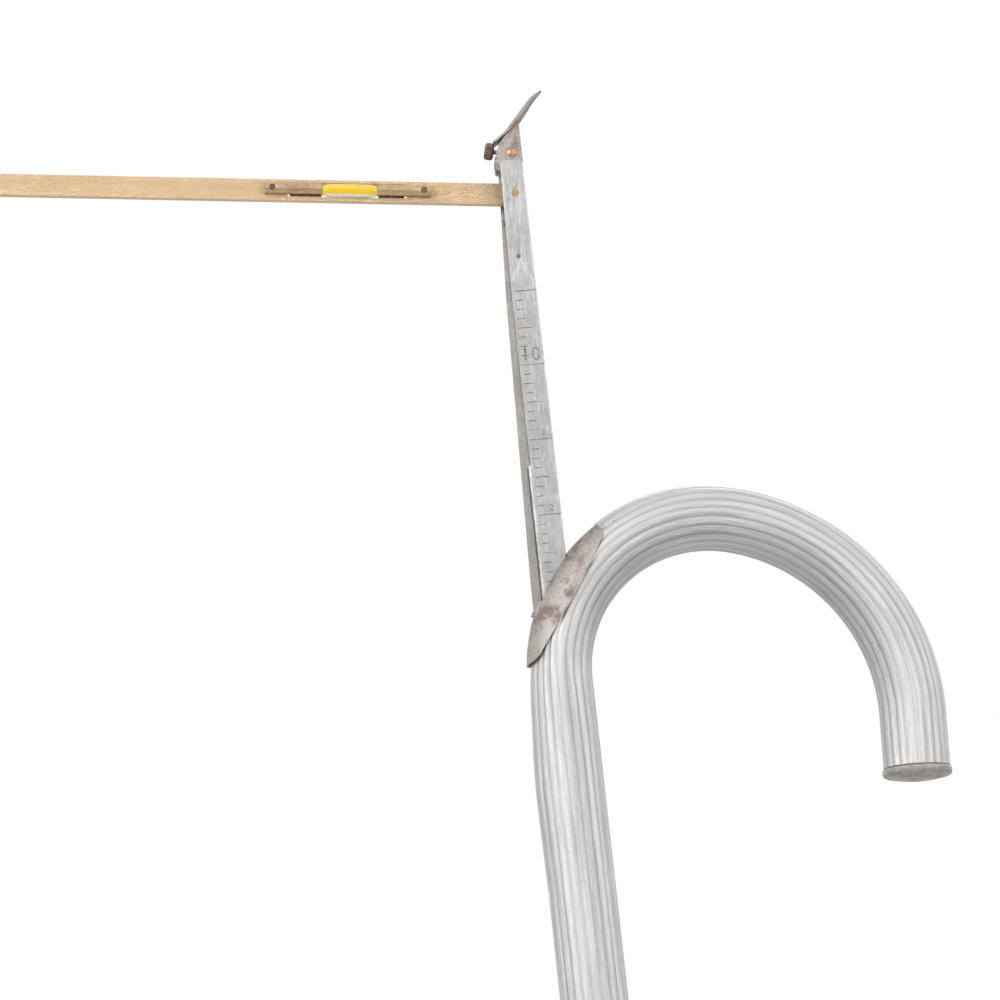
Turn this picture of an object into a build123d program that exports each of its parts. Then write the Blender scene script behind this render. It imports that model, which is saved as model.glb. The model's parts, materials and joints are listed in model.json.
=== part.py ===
# Horse measuring stick: a reeded aluminium cane with a pull-out rule, a folding brass arm
# with a spirit level, and a sprung catch under the rule's cap.
# Millimetres. +Z runs up the cane, the origin is the centre of the ferrule's foot,
# the crook bends to +X, the arm points to -X and the scale faces -Y.
from build123d import *
from math import cos, sin, tan, sqrt, radians
import os

os.makedirs("parts", exist_ok=True)

# Clearances
running_gap = 0.05       # round turning parts
seat_gap = 0.05          # between parts seated on each other
stop_gap = 0.1           # between stop faces
slot_gap = 0.35          # round the rule in the plate's slot
guide_gap = 0.3          # round the rule in the guide sleeve
least_edge = 0.001

# Cane tube
crest_r = 10.85          # over the reeds
tube_wall = 1.65         # from the bore to the crests
reed_depth = 0.45
reed_count = 22
crest_share = 0.45       # flat part of each reed
tube_foot_z = 24.0
bend_z = 922.5           # where the crook starts
bend1_r = 50.1
bend1_deg = 104.5
bend2_r = 68.2
bend2_deg = 78.5
crook_tail = 17.5        # straight end of the crook
flat_below = 22.5        # filed flat: from this far below the bend
flat_above = 6.5         # to this far above it
flat_depth = 1.4
bore_r = crest_r - tube_wall

# Crook plug
collar_r = crest_r + 0.45
collar_t = 2.2
collar_edge = 0.5
plug_shank = 12.0
face_rings = ((3.0, 4.0), (7.5, 8.5))
face_ring_depth = 0.15

# Saddle plate
saddle_t = 0.7
saddle_r = crest_r + 1.15     # outside radius across the plate
saddle_crown = crest_r - 0.45 # crown's distance outside the centre line of the bend
rim = (                       # share of the crown's distance, angle round the bend
    (1.115, 5.9),
    (0.865, 6.4),
    (0.582, 9.8),
    (0.203, 20.7),
    (0.034, 33.9),
    (0.144, 43.5),
    (0.390, 52.4),
    (0.654, 56.3),
    (1.115, 57.2),
)
rim_seat = 0.1
mouth_half_y = bore_r - 1.2
lug_rise = 0.8
lug_half_y = 0.65
lug_below_slot = (5.9, 4.2)   # its two ends below the slot's low end

# Heights that the scale fixes
reading_z = bend_z + 37.1     # edge of the saddle plate that the scale is read at
rest_reading = reading_z + 125.0   # height of the arm's underside as the stick is shown

# Rule
rule_right_x = 6.3
flange_w = 8.25          # front flange
flange_top_w = 7.5       # front flange at the top end
flange_taper = 41.0
back_steps = ((0.0, 0.0), (31.6, 1.4), (129.6, 3.6))   # below the arm, extra width
rule_depth = 8.5         # over both flanges
flange_t = 0.8
web_t = 0.6
web_round = 0.48
rule_length = 890.0
rule_over_arm = 14.4     # top end above the arm's underside
rule_top_slant = 0.9
rule_corner_r = 1.6
filler_clear = 9.6       # filler's top end below the folded level
filler_left = 1.15       # filler stands this far out of the front flange
filler_behind = 0.25     # filler's back face in front of the arm
filler_corner = 1.1
filler_rivets = 3
rivet_low = 60.0         # lowest rivet above the tail guide
rivet_high = 190.0       # highest rivet below the filler's top end

# Arm
arm_length = 500.0
arm_below = 3.0          # pivot to underside
arm_above = 4.3          # pivot to top edge
arm_t = 2.4
arm_front_y = -0.4
arm_rise_deg = 6.0       # above square, as shown
heel_ease = 1.5          # underside eases up to the heel from here
pivot_x = 2.79
pin_r = 1.2
pin_proud = 0.1
washer_r = 2.4

# Arm's leaf spring
leaf_t = 0.35
leaf_left_x = -1.1
leaf_right_x = 4.2
leaf_ear_x = -2.5
leaf_low = 26.0          # these heights are below the pivot
leaf_bend = 16.0
leaf_ear = (11.0, 8.6)
leaf_crown = 1.6         # bowed end's crown below its tip
leaf_nip = 0.3           # bowed end in front of the arm
leaf_rivet = (1.5, 22.0)
small_rivet_r = 0.8
small_rivet_head = 0.6

# Spirit level
level_near = 27.9        # along the arm from the pivot
level_far = 83.2
vial_near = 45.6
vial_far = 64.3
level_v = 1.05           # level's axis above the pivot line
sleeve_r = 2.05
sleeve_wall = 0.4
sleeve_end = 4.6         # solid end that takes the screw
vial_r = 2.3
vial_end_r = 1.55
vial_taper = 3.4         # length of the vial's rounded ends
vial_shoulder = 0.52
vial_barrel = 0.06
vial_axis_in = 0.1       # vial's axis behind the arm's front face
vial_v = 0.75            # vial's axis above the pivot line
arm_slot = (35.7, 76.1)
slot_under_vial = 0.05
slot_over_sleeve = 0.2
arm_slot_r = 1.2
screw_r = 1.0
screw_core_r = 0.6
screw_inset = 2.4
screw_sunk = 0.45
screw_proud = 0.15
screw_slot_w = 0.35
screw_slot_d = 0.3
screw_turn_deg = 35

# Head bracket and cap
bracket_t = 0.7
bracket_right_x = 6.6
bracket_drop = 5.8       # legs reach this far into the rule
cheek_arc = ((-2.6, 0.9), (-1.9, 3.6), (-0.43, 6.7))    # x, height over the rule's top
cheek_heel = ((-1.0, -3.2), (-2.5, -2.6))
cap_foot = (-1.1, 6.82)       # lower end of the cap's underside, before its lip is bent
cap_slope_deg = 40.5          # from upright
cap_lip = 5.0
cap_lip_deg = 12.0
cap_straight = 18.6
cap_bend_r = 3.0
cap_bend_deg = 14.0
cap_reach = 24.5              # from foot to point, along the slope
cap_arch_r = 12.3
cap_t = 0.7
cap_foot_half = 2.7
cap_half_w = 4.7
cap_neck_half = 4.2
cap_point_half = 0.4
cap_widest = 0.42             # share of the reach

# Catch
rivet_x = 3.3
rivet_rise = 3.05
rivet_r = 1.2
rivet_head_r = 1.85
rivet_dome = 0.75
lever_t = 1.4
lever_hub_r = 1.75
knob_at = (-2.55, 4.65)       # middle of the knob's inner face
knob_tilt_deg = 13.5
knob_r = 2.9
knob_rim_t = 1.9
knob_face_t = 1.2
knob_face_r = 2.0
knob_edge = 0.5
knob_ridges = 24
knob_ridge_d = 0.22
neck_r = 0.75
tab_half_y = 1.4
tab_x = (-2.35, -1.65)
tab_top = 2.6                 # tab's top end over the rule's top
tab_drop = 1.6                # tab's tip below the rule's top
tooth = 0.6
tooth_t = 0.8
catch_leaf_t = 0.3
catch_leaf_half = 1.2
catch_leaf_clear = 0.35
catch_leaf_bend = 1.0
catch_leaf_top = 3.4
catch_leaf_in = 1.4

# Foot
ferrule_r = crest_r + 1.05
ferrule_low_r = 9.525
ferrule_top_z = 46.0
ferrule_step_z = 20.0
ferrule_cone_z = 27.0
bead_rise = 0.4
bead_low = 1.6
bead_flat = 1.2
foot_pin_r = 1.0
tip_r = 7.6
tip_t = 3.0
tip_edge = 0.6
tip_shank_r = 4.0
tip_shank_z = 15.0

# Guides inside the tube
sleeve_top_z = bend_z - 28.5
sleeve_len = 20.0
tail_r = bore_r - 0.3
tail_len = 20.0
tail_edge = 0.6
tail_seat = 1.4          # flat for the tail spring
tail_seat_half = 2.6
tail_leaf_half = 1.2
tail_leaf_inset = 1.0
tail_leaf_clear = 0.35

# Values that follow
rise = radians(arm_rise_deg)
cap_slope = radians(cap_slope_deg)
rule_top_z = rest_reading + rule_over_arm
rule_foot_z = rule_top_z - rule_length
front_y = -rule_depth / 2
inner_y = rule_depth / 2 - flange_t
flange_left_x = rule_right_x - flange_w
top_left_x = rule_right_x - flange_top_w
back_left_x = flange_left_x - back_steps[-1][1]
web_x = rule_right_x - web_t
web_top_z = rule_top_z - rule_top_slant / 2
pivot_z = rest_reading + arm_below / cos(rise)
filler_top_z = pivot_z - level_far - filler_clear
filler_x = flange_left_x - filler_left
filler_back_y = arm_front_y - filler_behind
rivet_z = rule_top_z + rivet_rise
arm_slot_v = (round(vial_v - vial_r - slot_under_vial, 3), level_v + sleeve_r + slot_over_sleeve)
slot_left_x = filler_x - slot_gap


def box(x0, x1, y0, y1, z0, z1):
    """Block between six planes."""
    size = (x1 - x0, y1 - y0, z1 - z0)
    return Pos((x0 + x1) / 2, (y0 + y1) / 2, (z0 + z1) / 2) * Box(*size)


def side_prism(edges, y0, y1):
    """Prism from an outline in the XZ plane, between two Y planes."""
    face = make_face(edges)
    return Pos(0, y0, 0) * extrude(face, amount=y1 - y0, dir=(0, 1, 0))


def side_outline(points):
    """Closed straight-sided outline through (x, z) points."""
    return Polyline(*[(x, 0, z) for x, z in points], close=True)


def turned(points):
    """Solid of revolution about Z from an outline of (radius, z) points."""
    face = make_face(Polyline(*[(r, 0, z) for r, z in points], close=True))
    return revolve(face, Axis.Z, 360)


def cross_rod(x, z, radius, y0, y1):
    """Round bar along Y."""
    bar = Cylinder(radius, y1 - y0, rotation=(90, 0, 0))
    return Pos(x, (y0 + y1) / 2, z) * bar


def write(name, shape):
    """Save one piece under its node name."""
    solids = shape.solids()
    if len(solids) == 1:
        shape = solids[0]
    print(name, len(solids), round(shape.volume, 1))
    export_step(shape, f"parts/{name}.step")


# Cane tube

def ring_points(places):
    """Points round the tube's axis from (radius, angle) pairs."""
    return [(r * cos(radians(turn)), r * sin(radians(turn))) for r, turn in places]


def tube_section(plane, bore):
    """Reeded outside and a bore, on a plane across the tube."""
    step = 360 / reed_count
    groove_r = crest_r - reed_depth
    places = []
    for i in range(reed_count):
        mid = 90 + i * step
        half_crest = step * crest_share / 2
        places += [(groove_r, mid - step / 2), (crest_r, mid - half_crest)]
        places += [(crest_r, mid + half_crest)]
    ring = make_face(Polyline(*ring_points(places), close=True)) - bore
    return plane * ring


def faceted_bore():
    """Bore in the bends, with one facet to a reed."""
    step = 360 / reed_count
    outer_r = bore_r / cos(radians(step / 2))
    places = [(outer_r, 90 + (i + 0.5) * step) for i in range(reed_count)]
    return make_face(Polyline(*ring_points(places), close=True))


def bend_frame(reach, turn_deg):
    """Plane across the tube at a point of the crook's centre line."""
    turn = radians(turn_deg)
    return Plane(
        origin=(reach[0], 0, reach[1]),
        x_dir=(cos(turn), 0, -sin(turn)),
        z_dir=(sin(turn), 0, cos(turn)),
    )


def crook_points():
    """Centre and end of each bend, and the crook's very end."""
    a1 = radians(bend1_deg)
    a2 = radians(bend1_deg + bend2_deg)
    end1 = (bend1_r * (1 - cos(a1)), bend_z + bend1_r * sin(a1))
    centre2 = (end1[0] + bend2_r * cos(a1), end1[1] - bend2_r * sin(a1))
    end2 = (centre2[0] - bend2_r * cos(a2), centre2[1] + bend2_r * sin(a2))
    tail = (end2[0] + crook_tail * sin(a2), end2[1] + crook_tail * cos(a2))
    return end1, centre2, end2, tail


def saddle_torus(radius):
    """Round ring that the saddle plate's faces lie on."""
    major = bend1_r + saddle_crown - saddle_r
    axis = Plane(origin=(bend1_r, 0, bend_z), z_dir=(0, 1, 0))
    return Solid.make_torus(major, radius, axis)


def rim_points(inset):
    """Points of the plate's rim, moved by inset towards the inside of the bend."""
    points = []
    for share, turn_deg in rim:
        reach = bend1_r + share * saddle_crown - inset
        turn = radians(turn_deg)
        points.append((bend1_r - reach * cos(turn), 0, bend_z + reach * sin(turn)))
    return points


def saddle_region(inset):
    """Prism on the outer side of the plate's rim."""
    points = rim_points(inset)
    low, high = points[0], points[-1]
    far_x = low[0] - 4 * crest_r
    far_z = high[2] + 4 * crest_r
    arcs = [ThreePointArc(*points[i : i + 3]) for i in range(0, len(points) - 2, 2)]
    far_side = Polyline(
        high, (high[0], 0, far_z), (far_x, 0, far_z), (far_x, 0, low[2]), low
    )
    return side_prism(Curve() + arcs + [far_side], -2 * crest_r, 2 * crest_r)


def filed_flat():
    """Wedge filed off the tube under the plate's lower tip."""
    low_z, high_z = bend_z - flat_below, bend_z + flat_above
    far_x = -2 * crest_r
    outline = side_outline(
        [(-crest_r, low_z), (flat_depth - crest_r, high_z), (far_x, high_z), (far_x, low_z)]
    )
    return side_prism(outline, -crest_r, crest_r)


def cane_tube():
    """One reeded tube: straight shaft, two bends and a short straight end."""
    end1, centre2, end2, tail = crook_points()
    total = bend1_deg + bend2_deg
    shaft = extrude(
        tube_section(Plane((0, 0, tube_foot_z)), Circle(bore_r)), amount=bend_z - tube_foot_z
    )
    first = revolve(
        tube_section(Plane((0, 0, bend_z)), faceted_bore()),
        Axis((bend1_r, 0, bend_z), (0, 1, 0)),
        bend1_deg,
    )
    second = revolve(
        tube_section(bend_frame(end1, bend1_deg), faceted_bore()),
        Axis((centre2[0], 0, centre2[1]), (0, 1, 0)),
        bend2_deg,
    )
    last = extrude(tube_section(bend_frame(end2, total), Circle(bore_r)), amount=crook_tail)
    seat_inside = saddle_torus(saddle_r - saddle_t - seat_gap)
    seat = saddle_region(rim_seat) - seat_inside
    mouth = saddle_region(0) & box(
        -2 * crest_r, 2 * crest_r, -mouth_half_y, mouth_half_y, bend_z, bend_z + 2 * bend1_r
    )
    flat = filed_flat()
    first = first - seat - mouth - flat
    shaft = shaft - flat - ferrule_pin()
    return shaft + first + second + last


def crook_plug():
    """Turned aluminium plug in the open end of the crook."""
    tail = crook_points()[3]
    profile = [(0, collar_t)]
    for inner, outer in face_rings:
        ring_z = collar_t - face_ring_depth
        profile += [(inner, collar_t), (inner, ring_z), (outer, ring_z), (outer, collar_t)]
    profile += [
        (collar_r - collar_edge, collar_t),
        (collar_r, collar_t - collar_edge),
        (collar_r, 0),
        (bore_r, 0),
        (bore_r, -plug_shank),
        (0, -plug_shank),
    ]
    return bend_frame(tail, bend1_deg + bend2_deg) * turned(profile)


# Saddle plate and its stud

def rule_window(gap):
    """Upright shaft that lets the rule through, with a gap all round."""
    low, high = bend_z - bend1_r, bend_z + 2 * bend1_r
    right = rule_right_x + gap
    main = box(filler_x - gap, right, front_y - gap, inner_y - gap, low, high)
    back = box(back_left_x - gap, right, inner_y - gap, gap - front_y, low, high)
    return main + back


def saddle_plate():
    """Curved steel leaf that closes the mouth in the bend, slotted for the rule."""
    shell = saddle_torus(saddle_r) - saddle_torus(saddle_r - saddle_t)
    return (shell & saddle_region(0)) - rule_window(slot_gap)


def keeper_lug():
    """Small steel stud on the plate just below the slot."""
    shell = saddle_torus(saddle_r + lug_rise) - saddle_torus(saddle_r)
    slot_z = bend_z + sqrt((bend1_r + saddle_crown) ** 2 - (bend1_r - slot_left_x) ** 2)
    low, high = [slot_z - drop for drop in lug_below_slot]
    return shell & box(-2 * crest_r, slot_left_x, -lug_half_y, lug_half_y, low, high)


# Rule

def leaf_rivet_place():
    """Rivet that holds the arm's leaf spring inside the front flange."""
    return (leaf_rivet[0], pivot_z - leaf_rivet[1])


def rule_holes():
    """Cross holes that the rule's own pins fill."""
    bars = [cross_rod(pivot_x, pivot_z, pin_r, -rule_depth, rule_depth)]
    for z in tail_rivet_heights():
        bars.append(cross_rod(tail_rivet_x(), z, pin_r, -rule_depth, rule_depth))
    for z in filler_rivet_heights():
        bars.append(cross_rod(filler_rivet_x(), z, pin_r, -rule_depth, 0))
    bars.append(cross_rod(*leaf_rivet_place(), small_rivet_r, -rule_depth, 0))
    return bars


def front_flange():
    """Front flange with its narrowed, rounded top end, which carries the scale."""
    outline = side_outline(
        [
            (rule_right_x, rule_foot_z),
            (rule_right_x, web_top_z),
            (top_left_x, web_top_z + rule_top_slant),
            (flange_left_x, rule_top_z - flange_taper),
            (flange_left_x, rule_foot_z),
        ]
    )
    plate = side_prism(outline, front_y, front_y + flange_t)
    corner = plate.edges().filter_by(Axis.Y).sort_by(Axis.Z)[-2:].sort_by(Axis.X)[0]
    return fillet(corner, rule_corner_r)


def back_flange():
    """Back flange, which grows wider from the arm down."""
    widening = [(flange_left_x - extra, rest_reading - drop) for drop, extra in back_steps]
    outline = side_outline(
        [
            (rule_right_x, rule_foot_z),
            (rule_right_x, web_top_z),
            (top_left_x, web_top_z + rule_top_slant),
            *widening,
            (back_left_x, rule_foot_z),
        ]
    )
    return side_prism(outline, inner_y, inner_y + flange_t)


def rule_channel():
    """Channel of sheet aluminium, open towards the arm's side."""
    web = box(web_x, rule_right_x, front_y, -front_y, rule_foot_z, web_top_z)
    channel = front_flange() + back_flange() + web
    outer = channel.edges().filter_by(Axis.Z).filter_by_position(
        Axis.X, rule_right_x - seat_gap, rule_right_x + seat_gap
    )
    channel = fillet(outer, web_round)
    for bar in rule_holes():
        channel -= bar
    return channel


def filler_rivet_x():
    """Rivet line of the filler, midway across the flange."""
    return (filler_x + web_x) / 2


def filler_rivet_heights():
    """Rivet heights, evenly spaced down the part of the filler inside the cane."""
    low = rule_foot_z + tail_len + rivet_low
    high = filler_top_z - rivet_high
    return [low + (high - low) * i / (filler_rivets - 1) for i in range(filler_rivets)]


def rule_filler():
    """Aluminium strip behind the front flange, below the folded level."""
    strip = box(filler_x, web_x, -inner_y, filler_back_y, rule_foot_z, filler_top_z)
    end_edge = strip.edges().filter_by(Axis.Y).sort_by(Axis.Z)[-2:].sort_by(Axis.X)[0]
    strip = chamfer(end_edge, filler_corner)
    for z in filler_rivet_heights():
        strip -= cross_rod(filler_rivet_x(), z, pin_r, -rule_depth, 0)
    for z in tail_rivet_heights():
        strip -= cross_rod(tail_rivet_x(), z, pin_r, -rule_depth, rule_depth)
    return strip


def filler_rivet(z):
    """Flush rivet through the front flange and the filler."""
    return cross_rod(filler_rivet_x(), z, pin_r, front_y, filler_back_y)


def tail_rivet_x():
    """Rivet line of the tail guide."""
    return (flange_left_x + web_x) / 2


def tail_rivet_heights():
    """Heights of the two rivets through the tail guide."""
    return [rule_foot_z + tail_len * 0.25, rule_foot_z + tail_len * 0.75]


def rule_tail_guide():
    """Round block that runs in the bore and carries the rule's foot."""
    block = Pos(0, 0, rule_foot_z + tail_len / 2) * Cylinder(tail_r, tail_len)
    block = chamfer(block.edges().filter_by(GeomType.CIRCLE), tail_edge)
    low, high = rule_foot_z - 1, rule_foot_z + tail_len + 1
    pocket = box(back_left_x, rule_right_x, front_y, -front_y, low, high)
    spring_seat = box(
        -tail_r - 1, tail_seat - tail_r, -tail_seat_half, tail_seat_half, low, high
    )
    block = block - pocket - spring_seat
    for z in tail_rivet_heights():
        block -= cross_rod(tail_rivet_x(), z, pin_r, -tail_r, tail_r)
    return block


def tail_rivet(z):
    """Rivet through the guide and both flanges."""
    reach = sqrt(tail_r**2 - (abs(tail_rivet_x()) + pin_r) ** 2)
    return cross_rod(tail_rivet_x(), z, pin_r, -reach, reach)


def tail_spring():
    """Bowed leaf beside the guide that rubs on the bore and holds the rule up."""
    seat_x = tail_seat - tail_r
    crown_x = tail_leaf_clear - bore_r
    low = rule_foot_z + tail_leaf_inset
    high = rule_foot_z + tail_len - tail_leaf_inset
    mid = (low + high) / 2
    outer = ThreePointArc((seat_x - leaf_t, 0, low), (crown_x, 0, mid), (seat_x - leaf_t, 0, high))
    inner = ThreePointArc((seat_x, 0, high), (crown_x + leaf_t, 0, mid), (seat_x, 0, low))
    top = Line((seat_x - leaf_t, 0, high), (seat_x, 0, high))
    foot = Line((seat_x, 0, low), (seat_x - leaf_t, 0, low))
    return side_prism(Curve() + [outer, top, inner, foot], -tail_leaf_half, tail_leaf_half)


def guide_sleeve():
    """Sleeve in the bore that steadies the rule and stops its tail at full height."""
    ring = Pos(0, 0, sleeve_top_z - sleeve_len / 2) * Cylinder(bore_r, sleeve_len)
    window = box(
        back_left_x - guide_gap,
        rule_right_x + guide_gap,
        front_y - guide_gap,
        guide_gap - front_y,
        sleeve_top_z - sleeve_len - 1,
        sleeve_top_z + 1,
    )
    return ring - window


# Arm and its spring

def arm_plane(y):
    """Arm's own plane at a depth y: first axis along the arm, second one up."""
    return Plane(
        origin=(pivot_x, y, pivot_z), x_dir=(-cos(rise), 0, sin(rise)), z_dir=(0, 1, 0)
    )


def arm_slab(face, y0, y1):
    """Prism through the arm, from an outline in the arm's own plane."""
    return extrude(arm_plane(y0) * face, amount=y1 - y0, dir=(0, 1, 0))


def arm_outline():
    """Bar with a square stop corner and a rounded lower corner at the heel."""
    heel = (web_x - stop_gap - pivot_x) / cos(rise)
    heel_r = min(arm_below, heel)
    top_back = -heel + arm_above * tan(rise)
    mid_v = (arm_above - arm_below) / 2
    end_u = arm_length - (arm_above + arm_below) / 2
    diag = heel_r / sqrt(2)
    upper = [(-heel, 0), (top_back, arm_above), (end_u, arm_above)]
    if heel - heel_r > least_edge:
        upper.insert(0, (-heel_r, 0))
    edges = [
        Polyline(*upper),
        ThreePointArc((end_u, arm_above), (arm_length, mid_v), (end_u, -arm_below)),
        Polyline((end_u, -arm_below), (heel_ease, -arm_below), (0, -heel_r)),
        ThreePointArc((0, -heel_r), (-diag, -diag), (-heel_r, 0)),
    ]
    return make_face(Curve() + edges)


def arm_bar():
    """Brass bar with a slot for the level's vial."""
    slot_mid = (sum(arm_slot) / 2, sum(arm_slot_v) / 2)
    slot_size = (arm_slot[1] - arm_slot[0], arm_slot_v[1] - arm_slot_v[0])
    window = Pos(*slot_mid) * RectangleRounded(*slot_size, arm_slot_r)
    bar = arm_slab(arm_outline() - window, arm_front_y, arm_front_y + arm_t)
    bar -= cross_rod(pivot_x, pivot_z, pin_r + running_gap, -rule_depth, rule_depth)
    for u in screw_places():
        bar -= arm_slab(Pos(u, level_v) * Circle(screw_core_r), arm_front_y, 0)
    return bar


def screw_places():
    """The two level screws, along the arm."""
    return [level_near + screw_inset, level_far - screw_inset]


def arm_pin():
    """Brass pivot through both flanges and the arm."""
    return cross_rod(pivot_x, pivot_z, pin_r, front_y - pin_proud, pin_proud - front_y)


def arm_washer():
    """Brass washer on the pivot between the arm and the back flange."""
    low = arm_front_y + arm_t + running_gap
    ring = cross_rod(pivot_x, pivot_z, washer_r, low, inner_y)
    return ring - cross_rod(pivot_x, pivot_z, pin_r, -rule_depth, rule_depth)


def arm_spring():
    """Leaf inside the front flange whose bowed end rubs on the arm's front face."""
    base_y = front_y + flange_t
    face_y = arm_front_y - leaf_nip
    low, bend, tip = pivot_z - leaf_low, pivot_z - leaf_bend, pivot_z - pin_r - leaf_nip
    points = [
        (base_y, low),
        (base_y, bend),
        (face_y - leaf_t, tip - leaf_crown),
        (face_y - 1.5 * leaf_t, tip),
        (face_y - 0.5 * leaf_t, tip),
        (face_y, tip - leaf_crown),
        (base_y + leaf_t, bend - leaf_t),
        (base_y + leaf_t, low),
    ]
    face = make_face(Polyline(*[(leaf_ear_x, y, z) for y, z in points], close=True))
    leaf = extrude(face, amount=leaf_right_x - leaf_ear_x, dir=(1, 0, 0))
    ear_low, ear_high = [pivot_z - drop for drop in leaf_ear]
    for z0, z1 in ((low - 1, ear_low), (ear_high, tip + 1)):
        leaf -= box(leaf_ear_x - 1, leaf_left_x, -rule_depth, rule_depth, z0, z1)
    return leaf - cross_rod(*leaf_rivet_place(), small_rivet_r, -rule_depth, 0)


def arm_spring_rivet():
    """Small flush rivet of the leaf spring."""
    end_y = front_y + flange_t + small_rivet_head
    return cross_rod(*leaf_rivet_place(), small_rivet_r, front_y, end_y)


# Spirit level

def level_bar(radius, near, far):
    """Round bar on the level's axis."""
    plane = Plane(
        origin=arm_plane(arm_front_y).from_local_coords((near, level_v, 0)),
        x_dir=(sin(rise), 0, cos(rise)),
        z_dir=(-cos(rise), 0, sin(rise)),
    )
    return plane * extrude(Circle(radius), amount=far - near)


def level_sleeve(near, far, screw_u, solid_end, round_part):
    """Brass sleeve: half-round on the arm's front, full-round in the arm's slot."""
    body = level_bar(sleeve_r, near, far)
    tall = 2 * sleeve_r
    mid = (near + far) / 2
    front = Pos(mid, level_v) * Rectangle(far - near, tall)
    keep = arm_slab(front, arm_front_y - sleeve_r, arm_front_y)
    mid = sum(round_part) / 2
    back = Pos(mid, level_v) * Rectangle(round_part[1] - round_part[0], tall)
    keep += arm_slab(back, arm_front_y, arm_front_y + sleeve_r)
    hollow = level_bar(sleeve_r - sleeve_wall, *solid_end)
    return (body & keep) - hollow - screw_body(screw_u, running_gap)


def level_sleeves():
    """Both sleeves, each solid at its outer end."""
    near_screw, far_screw = screw_places()
    round_near = arm_slot[0] + arm_slot_r + stop_gap
    round_far = arm_slot[1] - arm_slot_r - stop_gap
    near = level_sleeve(
        level_near, vial_near, near_screw, (level_near + sleeve_end, vial_near),
        (round_near, vial_near),
    )
    far = level_sleeve(
        vial_far, level_far, far_screw, (vial_far, level_far - sleeve_end),
        (vial_far, round_far),
    )
    return near, far


def screw_body(u, grow):
    """Pan-head screw, its head sunk in the sleeve's crest."""
    crest_y = arm_front_y - sleeve_r
    under_y = crest_y + screw_sunk
    place = Pos(u, level_v)
    head = arm_slab(place * Circle(screw_r + grow), crest_y - screw_proud, under_y)
    shank = arm_slab(place * Circle(screw_core_r), under_y, 0)
    return head + shank


def level_screw(u):
    """Steel screw with a slot across its head."""
    head_y = arm_front_y - sleeve_r - screw_proud
    cut = Pos(u, level_v) * Rectangle(screw_slot_w, 3 * screw_r, rotation=screw_turn_deg)
    return screw_body(u, 0) - arm_slab(cut, head_y - screw_slot_d, head_y + screw_slot_d)


def level_vial():
    """Barrel-shaped vial that rests in the arm's slot between the sleeves."""
    length = vial_far - vial_near
    shoulder_r = vial_end_r + vial_shoulder
    barrel_r = vial_r - vial_barrel
    near = [(vial_end_r, 0, 0), (shoulder_r, 0, vial_taper / 2), (barrel_r, 0, vial_taper)]
    far = [(x, 0, length - z) for x, y, z in reversed(near)]
    profile = [
        Line((0, 0, 0), near[0]),
        ThreePointArc(*near),
        ThreePointArc(near[2], (vial_r, 0, length / 2), far[0]),
        ThreePointArc(*far),
        Line(far[2], (0, 0, length)),
        Line((0, 0, length), (0, 0, 0)),
    ]
    barrel = revolve(make_face(Curve() + profile), Axis.Z, 360)
    plane = Plane(
        origin=arm_plane(arm_front_y + vial_axis_in).from_local_coords((vial_near, vial_v, 0)),
        x_dir=(0, 1, 0),
        z_dir=(-cos(rise), 0, sin(rise)),
    )
    return plane * barrel


# Head bracket and cap

def over_top(place):
    """World x and z of a place given by its x and its height over the rule's top."""
    return (place[0], rule_top_z + place[1])


def cap_plane():
    """Cap's underside at its lower end: first axis up the slope, third one outwards."""
    x, z = over_top(cap_foot)
    return Plane(
        origin=(x, 0, z),
        x_dir=(sin(cap_slope), 0, cos(cap_slope)),
        z_dir=(-cos(cap_slope), 0, sin(cap_slope)),
    )


def bracket_outline():
    """Bracket from the side: legs in the rule, cheeks with a rounded front edge."""
    low = rule_top_z - bracket_drop
    shoulder = web_top_z + seat_gap
    high = rule_top_z + cap_foot[1] + (bracket_right_x - cap_foot[0]) / tan(cap_slope)
    arc = [(x, 0, z) for x, z in map(over_top, cheek_arc)]
    rest = Polyline(
        arc[2],
        (bracket_right_x, 0, high),
        (bracket_right_x, 0, shoulder),
        (web_x, 0, shoulder),
        (web_x, 0, low),
        (cheek_heel[0][0], 0, low),
        *[(x, 0, z) for x, z in map(over_top, cheek_heel)],
        arc[0],
    )
    return Curve() + [ThreePointArc(*arc), rest]


def head_bracket():
    """Folded steel bracket: two cheeks and a web, fitted under the cap's arch."""
    body = side_prism(bracket_outline(), -inner_y, inner_y)
    arch = Rot(0, 90, 0) * Cylinder(cap_arch_r - seat_gap, 8 * cap_arch_r)
    body &= cap_plane() * Pos(0, 0, -cap_arch_r) * arch
    inside_y = inner_y - bracket_t
    left = cheek_arc[0][0] - 1
    low = rule_top_z - bracket_drop - 1
    shoulder = web_top_z + seat_gap
    high = rule_top_z + cap_foot[1] + cap_reach
    body -= box(left, web_x - bracket_t, -inside_y, inside_y, low, shoulder)
    body -= box(left, bracket_right_x - bracket_t, -inside_y, inside_y, shoulder, high)
    return body - cross_rod(rivet_x, rivet_z, rivet_r, -rule_depth, rule_depth)


def head_rivet():
    """Big brass rivet with a domed head on each cheek, the pivot of the catch."""
    ball_r = (rivet_head_r**2 + rivet_dome**2) / (2 * rivet_dome)
    rivet = cross_rod(rivet_x, rivet_z, rivet_r, -inner_y, inner_y)
    for side in (-1, 1):
        ball = Pos(rivet_x, side * (inner_y + rivet_dome - ball_r), rivet_z) * Sphere(ball_r)
        y0, y1 = sorted((side * inner_y, side * (inner_y + 2 * rivet_dome)))
        rivet += ball & cross_rod(rivet_x, rivet_z, rivet_head_r, y0, y1)
    return rivet


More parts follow.
